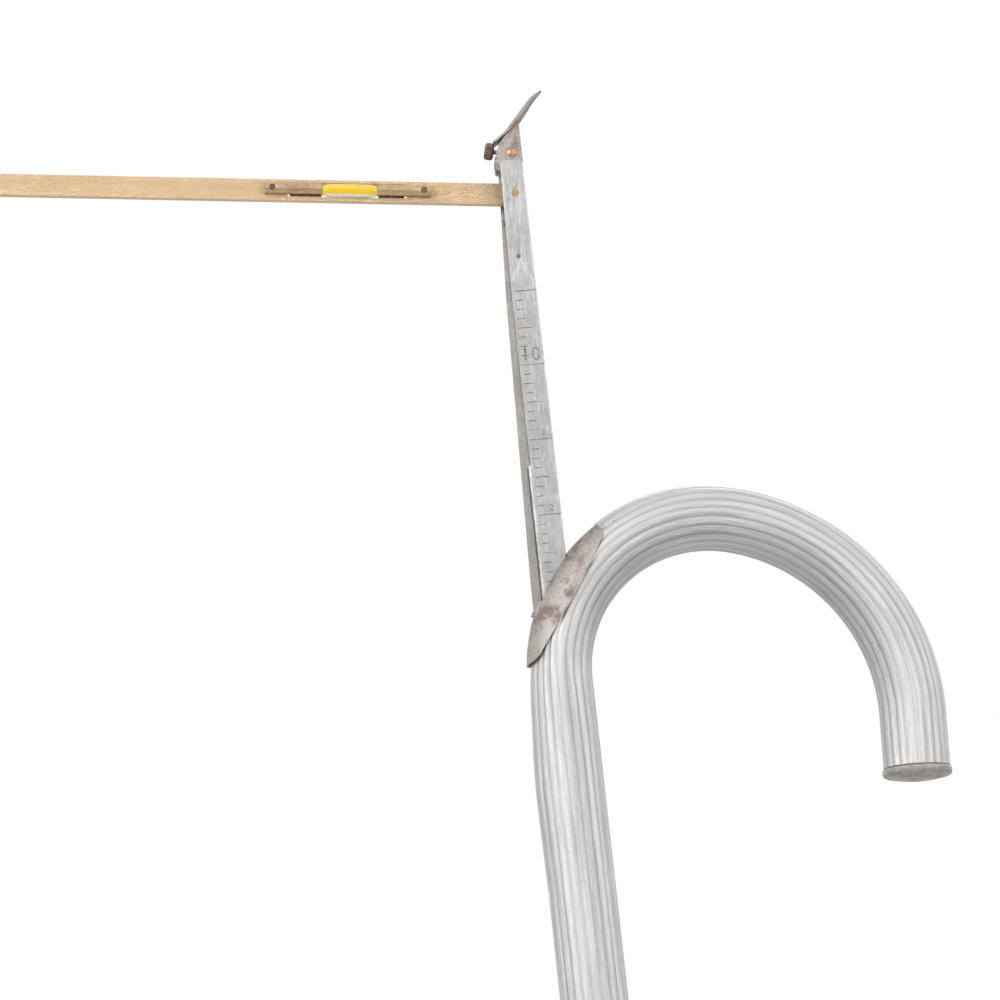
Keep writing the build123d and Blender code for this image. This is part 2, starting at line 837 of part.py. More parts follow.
def cap_section():
    """Arch across the cap, its crown outwards."""
    half = cap_half_w + 2 * seat_gap
    ends = []
    for radius in (cap_arch_r + cap_t, cap_arch_r):
        ends.append(sqrt(radius**2 - half**2) - cap_arch_r)
    outer = ThreePointArc((0, -half, ends[0]), (0, 0, cap_t), (0, half, ends[0]))
    inner = ThreePointArc((0, half, ends[1]), (0, 0, 0), (0, -half, ends[1]))
    sides = [
        Line((0, half, ends[0]), (0, half, ends[1])),
        Line((0, -half, ends[1]), (0, -half, ends[0])),
    ]
    return make_face(Curve() + [outer, sides[0], inner, sides[1]])


def cap_leaf():
    """Leaf outline of the cap, as a tall prism on its own plane."""
    mid = cap_reach * cap_widest
    edges = [
        Line((0, -cap_foot_half), (0, cap_foot_half)),
        ThreePointArc((0, cap_foot_half), (mid, cap_half_w), (cap_straight, cap_neck_half)),
        Line((cap_straight, cap_neck_half), (cap_reach, cap_point_half)),
        Line((cap_reach, cap_point_half), (cap_reach, -cap_point_half)),
        Line((cap_reach, -cap_point_half), (cap_straight, -cap_neck_half)),
        ThreePointArc((cap_straight, -cap_neck_half), (mid, -cap_half_w), (0, -cap_foot_half)),
    ]
    return Pos(0, 0, -cap_arch_r) * extrude(make_face(Curve() + edges), amount=2 * cap_arch_r)


def cap_plate():
    """Leaf-shaped cap that covers the slot: a lip at its foot and its point bent down."""
    section = cap_section()
    bend = radians(cap_bend_deg)
    straight = extrude(
        Pos(cap_lip, 0, 0) * section, amount=cap_straight - cap_lip, dir=(1, 0, 0)
    )
    deep = 2 * cap_t
    lip = Pos(0, 0, deep) * extrude(section, amount=-2 * cap_lip, dir=(1, 0, 0))
    lip = Pos(cap_lip, 0, -deep) * Rot(0, cap_lip_deg, 0) * lip
    knee = revolve(
        Pos(cap_straight, 0, 0) * section,
        Axis((cap_straight, 0, -cap_bend_r), (0, 1, 0)),
        cap_bend_deg,
    )
    knee_end = Pos(cap_straight + cap_bend_r * sin(bend), 0, -cap_bend_r * (1 - cos(bend)))
    point = knee_end * Rot(0, cap_bend_deg, 0) * extrude(section, amount=cap_reach, dir=(1, 0, 0))
    return cap_plane() * ((lip + straight + knee + point) & cap_leaf())


# Catch

def knob_plane():
    """Knob's inner face, its third axis outwards."""
    tilt = radians(knob_tilt_deg)
    x, z = over_top(knob_at)
    return Plane(
        origin=(x, 0, z), x_dir=(sin(tilt), 0, cos(tilt)), z_dir=(-cos(tilt), 0, sin(tilt))
    )


def catch_lever():
    """Steel lever on the rivet: a neck for the knob and a hanging tab with a tooth."""
    tip_z = rule_top_z - tab_drop
    top_z = rule_top_z + tab_top
    half_t = lever_t / 2
    plate = side_outline(
        [
            (rivet_x, rivet_z - lever_hub_r),
            (rivet_x, rivet_z + lever_hub_r),
            (tab_x[1], top_z),
            (tab_x[0], top_z),
            (tab_x[0], rule_top_z),
        ]
    )
    body = side_prism(plate, -half_t, half_t)
    body += cross_rod(rivet_x, rivet_z, lever_hub_r, -half_t, half_t)
    tab = side_outline(
        [
            (tab_x[0], top_z),
            (tab_x[1], top_z),
            (tab_x[1], tip_z),
            (tab_x[0], tip_z),
            (tab_x[0] - tooth, tip_z + tooth_t - seat_gap),
            (tab_x[0] - tooth, tip_z + tooth_t),
            (tab_x[0], tip_z + tooth_t),
        ]
    )
    body += side_prism(tab, -tab_half_y, tab_half_y)
    body += extrude(knob_plane() * Circle(neck_r), amount=knob_at[0] - rivet_x + rivet_r)
    return body - cross_rod(rivet_x, rivet_z, rivet_r + running_gap, -rule_depth, rule_depth)


def catch_knob():
    """Ridged steel button with a tapered face, on the lever's neck."""
    step = 360 / knob_ridges
    places = []
    for i in range(knob_ridges):
        places += [(knob_r, i * step), (knob_r - knob_ridge_d, (i + 0.5) * step)]
    star = make_face(Polyline(*ring_points(places), close=True))
    rim_part = extrude(star, amount=knob_rim_t)
    top = knob_rim_t + knob_face_t
    face_part = turned(
        [(0, knob_rim_t), (knob_r - knob_edge, knob_rim_t), (knob_face_r, top), (0, top)]
    )
    return knob_plane() * (rim_part + face_part)


def catch_spring():
    """Leaf on the bracket's web that lifts the lever's hub against the cap."""
    wall_x = bracket_right_x - bracket_t
    hub_top = rivet_z + lever_hub_r
    bend = hub_top + catch_leaf_bend
    top = hub_top + catch_leaf_top
    tip_x = rivet_x - catch_leaf_in
    tip_z = hub_top + catch_leaf_clear
    outline = side_outline(
        [
            (wall_x, top),
            (wall_x, bend),
            (tip_x, tip_z),
            (tip_x, tip_z + catch_leaf_t),
            (wall_x - catch_leaf_t, bend + catch_leaf_t),
            (wall_x - catch_leaf_t, top),
        ]
    )
    return side_prism(outline, -catch_leaf_half, catch_leaf_half)


# Foot

def ferrule_sleeve():
    """Brass ferrule over the tube's foot, stepped down to a round seat."""
    inside_r = crest_r + seat_gap
    bead_r = ferrule_r + bead_rise
    profile = [
        (tip_shank_r, tip_t),
        (ferrule_low_r, tip_t),
        (ferrule_low_r, ferrule_step_z),
        (ferrule_r, ferrule_cone_z),
        (ferrule_r, ferrule_top_z - bead_low),
        (bead_r, ferrule_top_z - bead_flat),
        (bead_r, ferrule_top_z - bead_rise),
        (ferrule_r, ferrule_top_z),
        (inside_r, ferrule_top_z),
        (inside_r, tube_foot_z),
        (tip_shank_r, tube_foot_z),
    ]
    return turned(profile) - ferrule_pin()


def ferrule_pin():
    """Brass pin across the ferrule and the tube."""
    z = (tube_foot_z + ferrule_top_z) / 2
    end_y = ferrule_r + pin_proud
    return cross_rod(0, z, foot_pin_r, -end_y, end_y)


def ferrule_tip():
    """Steel tread with a shank up into the ferrule."""
    return turned(
        [
            (0, 0),
            (tip_r - tip_edge, 0),
            (tip_r, tip_edge),
            (tip_r, tip_t),
            (tip_shank_r, tip_t),
            (tip_shank_r, tip_shank_z),
            (0, tip_shank_z),
        ]
    )


write("cane_tube", cane_tube())
write("crook_plug", crook_plug())
write("saddle_plate", saddle_plate())
write("keeper_lug", keeper_lug())
write("guide_sleeve", guide_sleeve())
write("ferrule_sleeve", ferrule_sleeve())
write("ferrule_pin", ferrule_pin())
write("ferrule_tip", ferrule_tip())

write("rule_channel", rule_channel())
write("rule_filler", rule_filler())
for number, height in enumerate(filler_rivet_heights(), 1):
    write(f"filler_rivet_{number}", filler_rivet(height))
write("rule_tail_guide", rule_tail_guide())
for number, height in enumerate(tail_rivet_heights(), 1):
    write(f"tail_rivet_{number}", tail_rivet(height))
write("tail_spring", tail_spring())
write("head_bracket", head_bracket())
write("head_rivet", head_rivet())
write("cap_plate", cap_plate())
write("catch_spring", catch_spring())
write("arm_pin", arm_pin())
write("arm_washer", arm_washer())
write("arm_spring", arm_spring())
write("arm_spring_rivet", arm_spring_rivet())

write("arm_bar", arm_bar())
sleeve_near, sleeve_far = level_sleeves()
write("level_sleeve_near", sleeve_near)
write("level_sleeve_far", sleeve_far)
write("level_vial", level_vial())
screw_near, screw_far = screw_places()
write("level_screw_near", level_screw(screw_near))
write("level_screw_far", level_screw(screw_far))

write("catch_lever", catch_lever())
write("catch_knob", catch_knob())
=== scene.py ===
# Horse measuring stick: looks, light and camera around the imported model. Lengths in mm, turned to metres.
import bpy
import bmesh
import json
import math
from mathutils import Matrix, Vector


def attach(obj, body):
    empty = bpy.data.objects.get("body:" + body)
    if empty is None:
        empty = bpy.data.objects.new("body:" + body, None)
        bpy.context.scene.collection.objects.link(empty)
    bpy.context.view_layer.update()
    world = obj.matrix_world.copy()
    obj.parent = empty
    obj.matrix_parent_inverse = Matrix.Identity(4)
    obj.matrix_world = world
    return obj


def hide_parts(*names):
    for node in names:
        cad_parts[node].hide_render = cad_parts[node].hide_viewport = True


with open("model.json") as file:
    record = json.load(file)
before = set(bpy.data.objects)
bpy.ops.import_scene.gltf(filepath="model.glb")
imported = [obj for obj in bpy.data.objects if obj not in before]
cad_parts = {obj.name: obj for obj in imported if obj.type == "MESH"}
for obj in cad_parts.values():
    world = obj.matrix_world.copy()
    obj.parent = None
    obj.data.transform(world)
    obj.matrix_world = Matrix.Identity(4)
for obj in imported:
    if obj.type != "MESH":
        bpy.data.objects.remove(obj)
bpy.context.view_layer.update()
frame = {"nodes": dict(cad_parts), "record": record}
nodes = frame["nodes"]
print("frame loaded:", len(nodes), "nodes")

mm = 0.001
rise = math.radians(6)                  # the arm stands this far above square
pivot = Vector((2.79, 0, 1087.617))


# Small helpers

def addNode(tree, kind, fields=None, feeds=None):
    node = tree.nodes.new(kind)
    for key, value in (fields or {}).items():
        setattr(node, key, value)
    for key, value in (feeds or {}).items():
        if isinstance(value, bpy.types.NodeSocket):
            tree.links.new(value, node.inputs[key])
        else:
            node.inputs[key].default_value = value
    return node


def maths(tree, operation, *values, clamp=False):
    feeds = dict(enumerate(values))
    return addNode(tree, "ShaderNodeMath", {"operation": operation, "use_clamp": clamp}, feeds).outputs[0]


def ramp(tree, value, start, end):      # 0 at start, 1 at end, eased at both
    return addNode(tree, "ShaderNodeMapRange", {"interpolation_type": "SMOOTHSTEP"}, {
        "Value": value, "From Min": start, "From Max": end}).outputs[0]


def split(tree, vector):
    return addNode(tree, "ShaderNodeSeparateXYZ", feeds={0: vector}).outputs


def onArm(u, y, v):                     # along the arm from its pivot, depth, above the pivot line
    return pivot + Vector((-u * math.cos(rise) + v * math.sin(rise), y, u * math.sin(rise) + v * math.cos(rise)))


def addObject(name, mesh):
    thing = bpy.data.objects.new(name, mesh)
    bpy.context.scene.collection.objects.link(thing)
    return thing


def evaluatedMesh(thing):
    graph = bpy.context.evaluated_depsgraph_get()
    return bpy.data.meshes.new_from_object(thing.evaluated_get(graph))


def gridMesh(grid, name, finish=None):
    bmesh.ops.recalc_face_normals(grid, faces=grid.faces)
    mesh = bpy.data.meshes.new(name)
    grid.to_mesh(mesh)
    grid.free()
    if finish:
        mesh.materials.append(made[finish])
    return mesh


def settle(piece):                      # turns what the modifiers make into the piece's own mesh
    mesh = evaluatedMesh(piece)
    piece.modifiers.clear()
    piece.data = mesh
    return piece


def facing(face):
    return tuple(round(part, 2) for part in face.normal)


def smooth(mesh, degrees, flatShare=None):  # directions with more than flatShare of the area stay flat
    areas = {}
    for face in mesh.polygons:
        way = facing(face)
        areas[way] = areas.get(way, 0) + face.area
    whole = sum(areas.values())
    for face in mesh.polygons:
        face.use_smooth = not flatShare or areas[facing(face)] < flatShare * whole
    mesh.set_sharp_from_angle(angle=math.radians(degrees))


def cadCopy(name, pieceName):           # the CAD's mesh with its coplanar facets joined
    mesh = nodes[name].data.copy()
    old = mesh.attributes.get("custom_normal")
    if old:
        mesh.attributes.remove(old)
    grid = bmesh.new()
    grid.from_mesh(mesh)
    bmesh.ops.remove_doubles(grid, verts=grid.verts, dist=2e-6)
    bmesh.ops.dissolve_limit(grid, angle_limit=math.radians(0.5), verts=grid.verts, edges=grid.edges)
    grid.to_mesh(mesh)
    grid.free()
    piece = addObject(pieceName, mesh)
    mesh.materials.clear()
    return piece


def easeEdges(piece, width, degrees=35, flatShare=0.08):
    bevel = piece.modifiers.new("edges", "BEVEL")
    bevel.width = width * mm
    bevel.segments = 2
    bevel.limit_method = "ANGLE"
    bevel.angle_limit = math.radians(degrees)
    settle(piece)
    smooth(piece.data, degrees, flatShare)


def cutAway(piece, cutter):
    cut = piece.modifiers.new("cut", "BOOLEAN")
    cut.operation = "DIFFERENCE"
    cut.solver = "EXACT"
    cut.object = cutter
    cut.material_mode = "TRANSFER"
    settle(piece)
    bpy.data.objects.remove(cutter)


def finishPiece(piece, body, slot, *replaced):
    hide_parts(*replaced)
    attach(piece, body)


def setInputs(piece, tree, values):
    modifier = piece.modifiers.new("build", "NODES")
    modifier.node_group = tree
    for item in tree.interface.items_tree:
        if item.item_type == "SOCKET" and item.in_out == "INPUT" and item.name in values:
            modifier[item.identifier] = values[item.name]


def newTree(name, inputs):
    tree = bpy.data.node_groups.new(name, "GeometryNodeTree")
    tree.interface.new_socket("Geometry", in_out="INPUT", socket_type="NodeSocketGeometry")
    for label, kind in inputs.items():
        tree.interface.new_socket(label, in_out="INPUT", socket_type="NodeSocket" + kind)
    tree.interface.new_socket("Geometry", in_out="OUTPUT", socket_type="NodeSocketGeometry")
    given = tree.nodes.new("NodeGroupInput").outputs
    return tree, given


def endTree(tree, geometry, material):
    real = addNode(tree, "GeometryNodeRealizeInstances", feeds={"Geometry": geometry})
    painted = addNode(tree, "GeometryNodeSetMaterial", feeds={
        "Geometry": real.outputs[0], "Material": material})
    out = tree.nodes.new("NodeGroupOutput")
    tree.links.new(painted.outputs[0], out.inputs[0])


# Camera, backdrop and light

cameraSetup = {
    "azimuth": 4.961,        # camera stands this far to the left of the scale's face
    "elevation": 12.371,     # and looks up by this much
    "roll": -6.131,
    "distance": 1118.3,
    "target": (-12.9, 0.0, 984.57),
    "lens": 122.93,
}


def placeCamera(setup):
    az, el, roll = (math.radians(setup[key]) for key in ("azimuth", "elevation", "roll"))
    ahead = Vector((math.sin(az) * math.cos(el), math.cos(az) * math.cos(el), math.sin(el)))
    side = ahead.cross(Vector((0, 0, 1))).normalized()
    up = side.cross(ahead)
    right = math.cos(roll) * side + math.sin(roll) * up
    top = -math.sin(roll) * side + math.cos(roll) * up
    data = bpy.data.cameras.new("camera")
    data.sensor_width = 36
    data.lens = setup["lens"]
    data.clip_start = 0.02
    data.clip_end = 30
    camera = addObject("camera", data)
    matrix = Matrix((right, top, -ahead)).transposed().to_4x4()
    matrix.translation = (Vector(setup["target"]) - ahead * setup["distance"]) * mm
    camera.matrix_world = matrix
    bpy.context.scene.camera = camera


stageSetup = {
    "floor": (0.86, 0.86, 0.86),
    "floorSize": 6.0,
    "floorRough": 0.85,
    "ambient": 0.65,         # world light on the object
    "glossLow": 0.65,        # what metal sees low down
    "glossHigh": 1.3,        # and high up
    "glossFrom": -0.45,      # between these heights it changes
    "glossTo": 0.35,
}


def makeWorld(setup):
    world = bpy.data.worlds.new("studio")
    bpy.context.scene.world = world
    world.use_nodes = True
    tree = world.node_tree
    tree.nodes.clear()
    rays = addNode(tree, "ShaderNodeLightPath")
    seen = maths(tree, "MAXIMUM", rays.outputs["Is Camera Ray"], rays.outputs["Is Transmission Ray"])
    sky = addNode(tree, "ShaderNodeTexCoord").outputs["Generated"]
    climb = addNode(tree, "ShaderNodeMapRange", {"interpolation_type": "SMOOTHSTEP"}, {
        "Value": split(tree, sky)["Z"], "From Min": setup["glossFrom"], "From Max": setup["glossTo"],
        "To Min": setup["glossLow"], "To Max": setup["glossHigh"]})
    gloss = addNode(tree, "ShaderNodeMix", feeds={
        0: rays.outputs["Is Glossy Ray"], 2: setup["ambient"], 3: climb.outputs[0]})
    power = addNode(tree, "ShaderNodeMix", feeds={0: seen, 2: gloss.outputs[0], 3: 1.0})
    background = addNode(tree, "ShaderNodeBackground", feeds={
        "Color": (1, 1, 1, 1), "Strength": power.outputs[0]})
    out = addNode(tree, "ShaderNodeOutputWorld")
    tree.links.new(background.outputs[0], out.inputs[0])


def makeFloor(setup):
    half = setup["floorSize"] / 2
    mesh = bpy.data.meshes.new("floor")
    mesh.from_pydata([(-half, -half, 0), (half, -half, 0), (half, half, 0), (-half, half, 0)],
                     [], [(0, 1, 2, 3)])
    floor = addObject("floor", mesh)
    material = bpy.data.materials.new("paleFloor")
    material.use_nodes = True
    shader = material.node_tree.nodes["Principled BSDF"]
    shader.inputs["Base Color"].default_value = (*setup["floor"], 1)
    shader.inputs["Roughness"].default_value = setup["floorRough"]
    shader.inputs["Specular IOR Level"].default_value = 0.1
    mesh.materials.append(material)


lampSetup = {
    "key": {"place": (-1.45, -1.2, 1.75), "size": 1.2, "power": 22},
    "fill": {"place": (1.5, -1.4, 1.4), "size": 1.2, "power": 13},
    "rim": {"place": (0.8, 1.4, 2.2), "size": 1.0, "power": 10.5},
}


def placeLamps(lamps, target):
    for name, lamp in lamps.items():
        data = bpy.data.lights.new(name, "AREA")
        data.shape = "SQUARE"
        data.size = lamp["size"]
        data.energy = lamp["power"]
        light = addObject(name, data)
        light.location = Vector(lamp["place"])
        light.rotation_euler = (Vector(target) - light.location).to_track_quat("-Z", "Y").to_euler()


bpy.context.scene.view_settings.view_transform = "Standard"
placeCamera(cameraSetup)
makeWorld(stageSetup)
makeFloor(stageSetup)
placeLamps(lampSetup, (0.0, 0.0, 0.95))
print("camera, floor and lamps placed")


# Shared effects

def newEffect(name, inputs):
    tree = bpy.data.node_groups.new(name, "ShaderNodeTree")
    for label, (kind, value) in inputs.items():
        socket = tree.interface.new_socket(label, in_out="INPUT", socket_type="NodeSocket" + kind)
        socket.default_value = value
    tree.interface.new_socket("Mask", in_out="OUTPUT", socket_type="NodeSocketFloat")
    given = tree.nodes.new("NodeGroupInput").outputs
    return tree, given


def endEffect(tree, mask):
    out = tree.nodes.new("NodeGroupOutput")
    tree.links.new(mask, out.inputs[0])
    return tree


def makeTarnish():                      # soft patches
    tree, given = newEffect("tarnish", {
        "Vector": ("Vector", (0, 0, 0)), "Scale": ("Float", 60),
        "From": ("Float", 0.45), "To": ("Float", 0.7)})
    noise = addNode(tree, "ShaderNodeTexNoise", feeds={
        "Vector": given["Vector"], "Scale": given["Scale"], "Detail": 7, "Roughness": 0.62,
        "Lacunarity": 2.13})
    return endEffect(tree, ramp(tree, noise.outputs[0], given["From"], given["To"]))


def makeScratches():                    # fine lines along the direction left out of Stretch
    tree, given = newEffect("scratches", {
        "Vector": ("Vector", (0, 0, 0)), "Stretch": ("Vector", (1, 1, 1)), "Cover": ("Float", 0.4)})
    drawn = addNode(tree, "ShaderNodeVectorMath", {"operation": "MULTIPLY"}, {
        0: given["Vector"], 1: given["Stretch"]})
    lines = addNode(tree, "ShaderNodeTexNoise", feeds={
        "Vector": drawn.outputs[0], "Scale": 1, "Detail": 5, "Roughness": 0.75, "Lacunarity": 2.13})
    low = maths(tree, "SUBTRACT", 0.78, maths(tree, "MULTIPLY", given["Cover"], 0.35))
    mask = addNode(tree, "ShaderNodeMapRange", feeds={
        "Value": lines.outputs[0], "From Min": low, "From Max": maths(tree, "ADD", low, 0.1)})
    return endEffect(tree, mask.outputs[0])


def makeSpecks():                       # small round pits or spots, some cells left empty
    tree, given = newEffect("specks", {
        "Vector": ("Vector", (0, 0, 0)), "Scale": ("Float", 500),
        "Size": ("Float", 0.2), "Share": ("Float", 0.3)})
    cells = addNode(tree, "ShaderNodeTexVoronoi", feeds={"Vector": given["Vector"], "Scale": given["Scale"]})
    chance = split(tree, cells.outputs["Color"])
    kept = maths(tree, "LESS_THAN", chance["X"], given["Share"])
    size = maths(tree, "MULTIPLY", given["Size"], chance["Y"])
    spot = ramp(tree, cells.outputs["Distance"], size, maths(tree, "MULTIPLY", size, 0.4))
    return endEffect(tree, maths(tree, "MULTIPLY", spot, kept))


effects = {"tarnish": makeTarnish(), "scratches": makeScratches(), "specks": makeSpecks()}


def useEffect(tree, name, feeds):
    node = addNode(tree, "ShaderNodeGroup", {"node_tree": effects[name]}, feeds)
    return node.outputs["Mask"]


def blend(tree, factor, below, above, amount=1.0):
    if amount != 1.0:
        factor = maths(tree, "MULTIPLY", factor, amount)
    mix = addNode(tree, "ShaderNodeMix", {"data_type": "RGBA"}, {0: factor})
    for socket, colour in ((6, below), (7, above)):
        if isinstance(colour, tuple):
            mix.inputs[socket].default_value = (*colour, 1)
        else:
            tree.links.new(colour, mix.inputs[socket])
    return mix.outputs[2]


fineRatio = {"patches": 7, "lines": 2.3}    # fine patches and scratches against the wide ones


def makeMetal(name, look):
    material = bpy.data.materials.new(name)
    material.use_nodes = True
    tree = material.node_tree
    shader = tree.nodes["Principled BSDF"]
    if "along" in look:
        coords = addNode(tree, "ShaderNodeAttribute", {"attribute_name": look["along"]}).outputs["Vector"]
    else:
        coords = addNode(tree, "ShaderNodeTexCoord").outputs["Object"]
        turned = addNode(tree, "ShaderNodeMapping", feeds={
            "Vector": coords, "Rotation": (0, look.get("turn", 0.0), 0)})
        coords = turned.outputs[0]
    spread = coords
    if "patchStretch" in look:
        spread = addNode(tree, "ShaderNodeMapping", feeds={
            "Vector": coords, "Scale": look["patchStretch"]}).outputs[0]
    wide = useEffect(tree, "tarnish", {
        "Vector": spread, "Scale": look["patchScale"], "From": look["patch"][0], "To": look["patch"][1]})
    fine = useEffect(tree, "tarnish", {
        "Vector": coords, "Scale": look["patchScale"] * fineRatio["patches"], "From": 0.35, "To": 0.7})
    lines = useEffect(tree, "scratches", {
        "Vector": coords, "Stretch": look["grain"], "Cover": look["scratch"]})
    fineLines = useEffect(tree, "scratches", {
        "Vector": coords, "Stretch": tuple(fineRatio["lines"] * g for g in look["grain"]), "Cover": 0.75})
    spots = useEffect(tree, "specks", {
        "Vector": coords, "Scale": look["speckScale"], "Size": look["speckSize"], "Share": look["speckShare"]})
    colour = blend(tree, wide, look["colour"], look["tarnished"])
    colour = blend(tree, fine, colour, look["tarnished"], look.get("fineAmount", 0.3))
    colour = blend(tree, fineLines, colour, look["bright"], 0.35)
    colour = blend(tree, lines, colour, look["bright"], look.get("brightLines", 0.7))
    colour = blend(tree, spots, colour, look["spot"], look.get("spotDepth", 0.8))
    if "paintedShade" in look:                  # painted shade: the colour darkens slowly along the metal, standing in for light falling off along the arm
        start, end, shade, amount = look["paintedShade"]
        colour = blend(tree, ramp(tree, split(tree, coords)["X"], start, end), colour, shade, amount)
    place = split(tree, addNode(tree, "ShaderNodeTexCoord").outputs["Object"])
    # bands of darker colour along one axis; on the rule and its filler they are painted shade where one part
    # keeps the light off another
    for axis, markStart, markFull, shade, amount in look.get("dirtAndShade", ()):  # mm where it starts, where it is full
        dirtAndShadeMask = ramp(tree, place[axis], markStart * mm, markFull * mm)
        colour = blend(tree, dirtAndShadeMask, colour, shade, amount)
    if "groove" in look:                # dirt in the grooves
        depth = addNode(tree, "ShaderNodeAttribute", {"attribute_name": "groove"}).outputs["Fac"]
        uneven = maths(tree, "MULTIPLY", depth, maths(tree, "ADD", 0.55, maths(tree, "MULTIPLY", wide, 0.45)))
        colour = blend(tree, maths(tree, "POWER", uneven, 1.5), colour, look["groove"])
    tree.links.new(colour, shader.inputs["Base Color"])
    low, high = look["rough"]
    rough = addNode(tree, "ShaderNodeMapRange", feeds={"Value": wide, "To Min": low, "To Max": high})
    rough = maths(tree, "ADD", rough.outputs[0], maths(tree, "MULTIPLY", fine, 0.08))
    tree.links.new(rough, shader.inputs["Roughness"])
    shader.inputs["Metallic"].default_value = 1.0
    height = maths(tree, "ADD", maths(tree, "MULTIPLY", lines, 0.5), maths(tree, "MULTIPLY", fine, 0.6))
    height = maths(tree, "ADD", height, maths(tree, "MULTIPLY", fineLines, 0.4))
    height = maths(tree, "SUBTRACT", height, spots)
    bump = addNode(tree, "ShaderNodeBump", feeds={
        "Height": height, "Strength": look["bump"], "Distance": look.get("relief", 0.06) * mm})
    tree.links.new(bump.outputs[0], shader.inputs["Normal"])
    return material


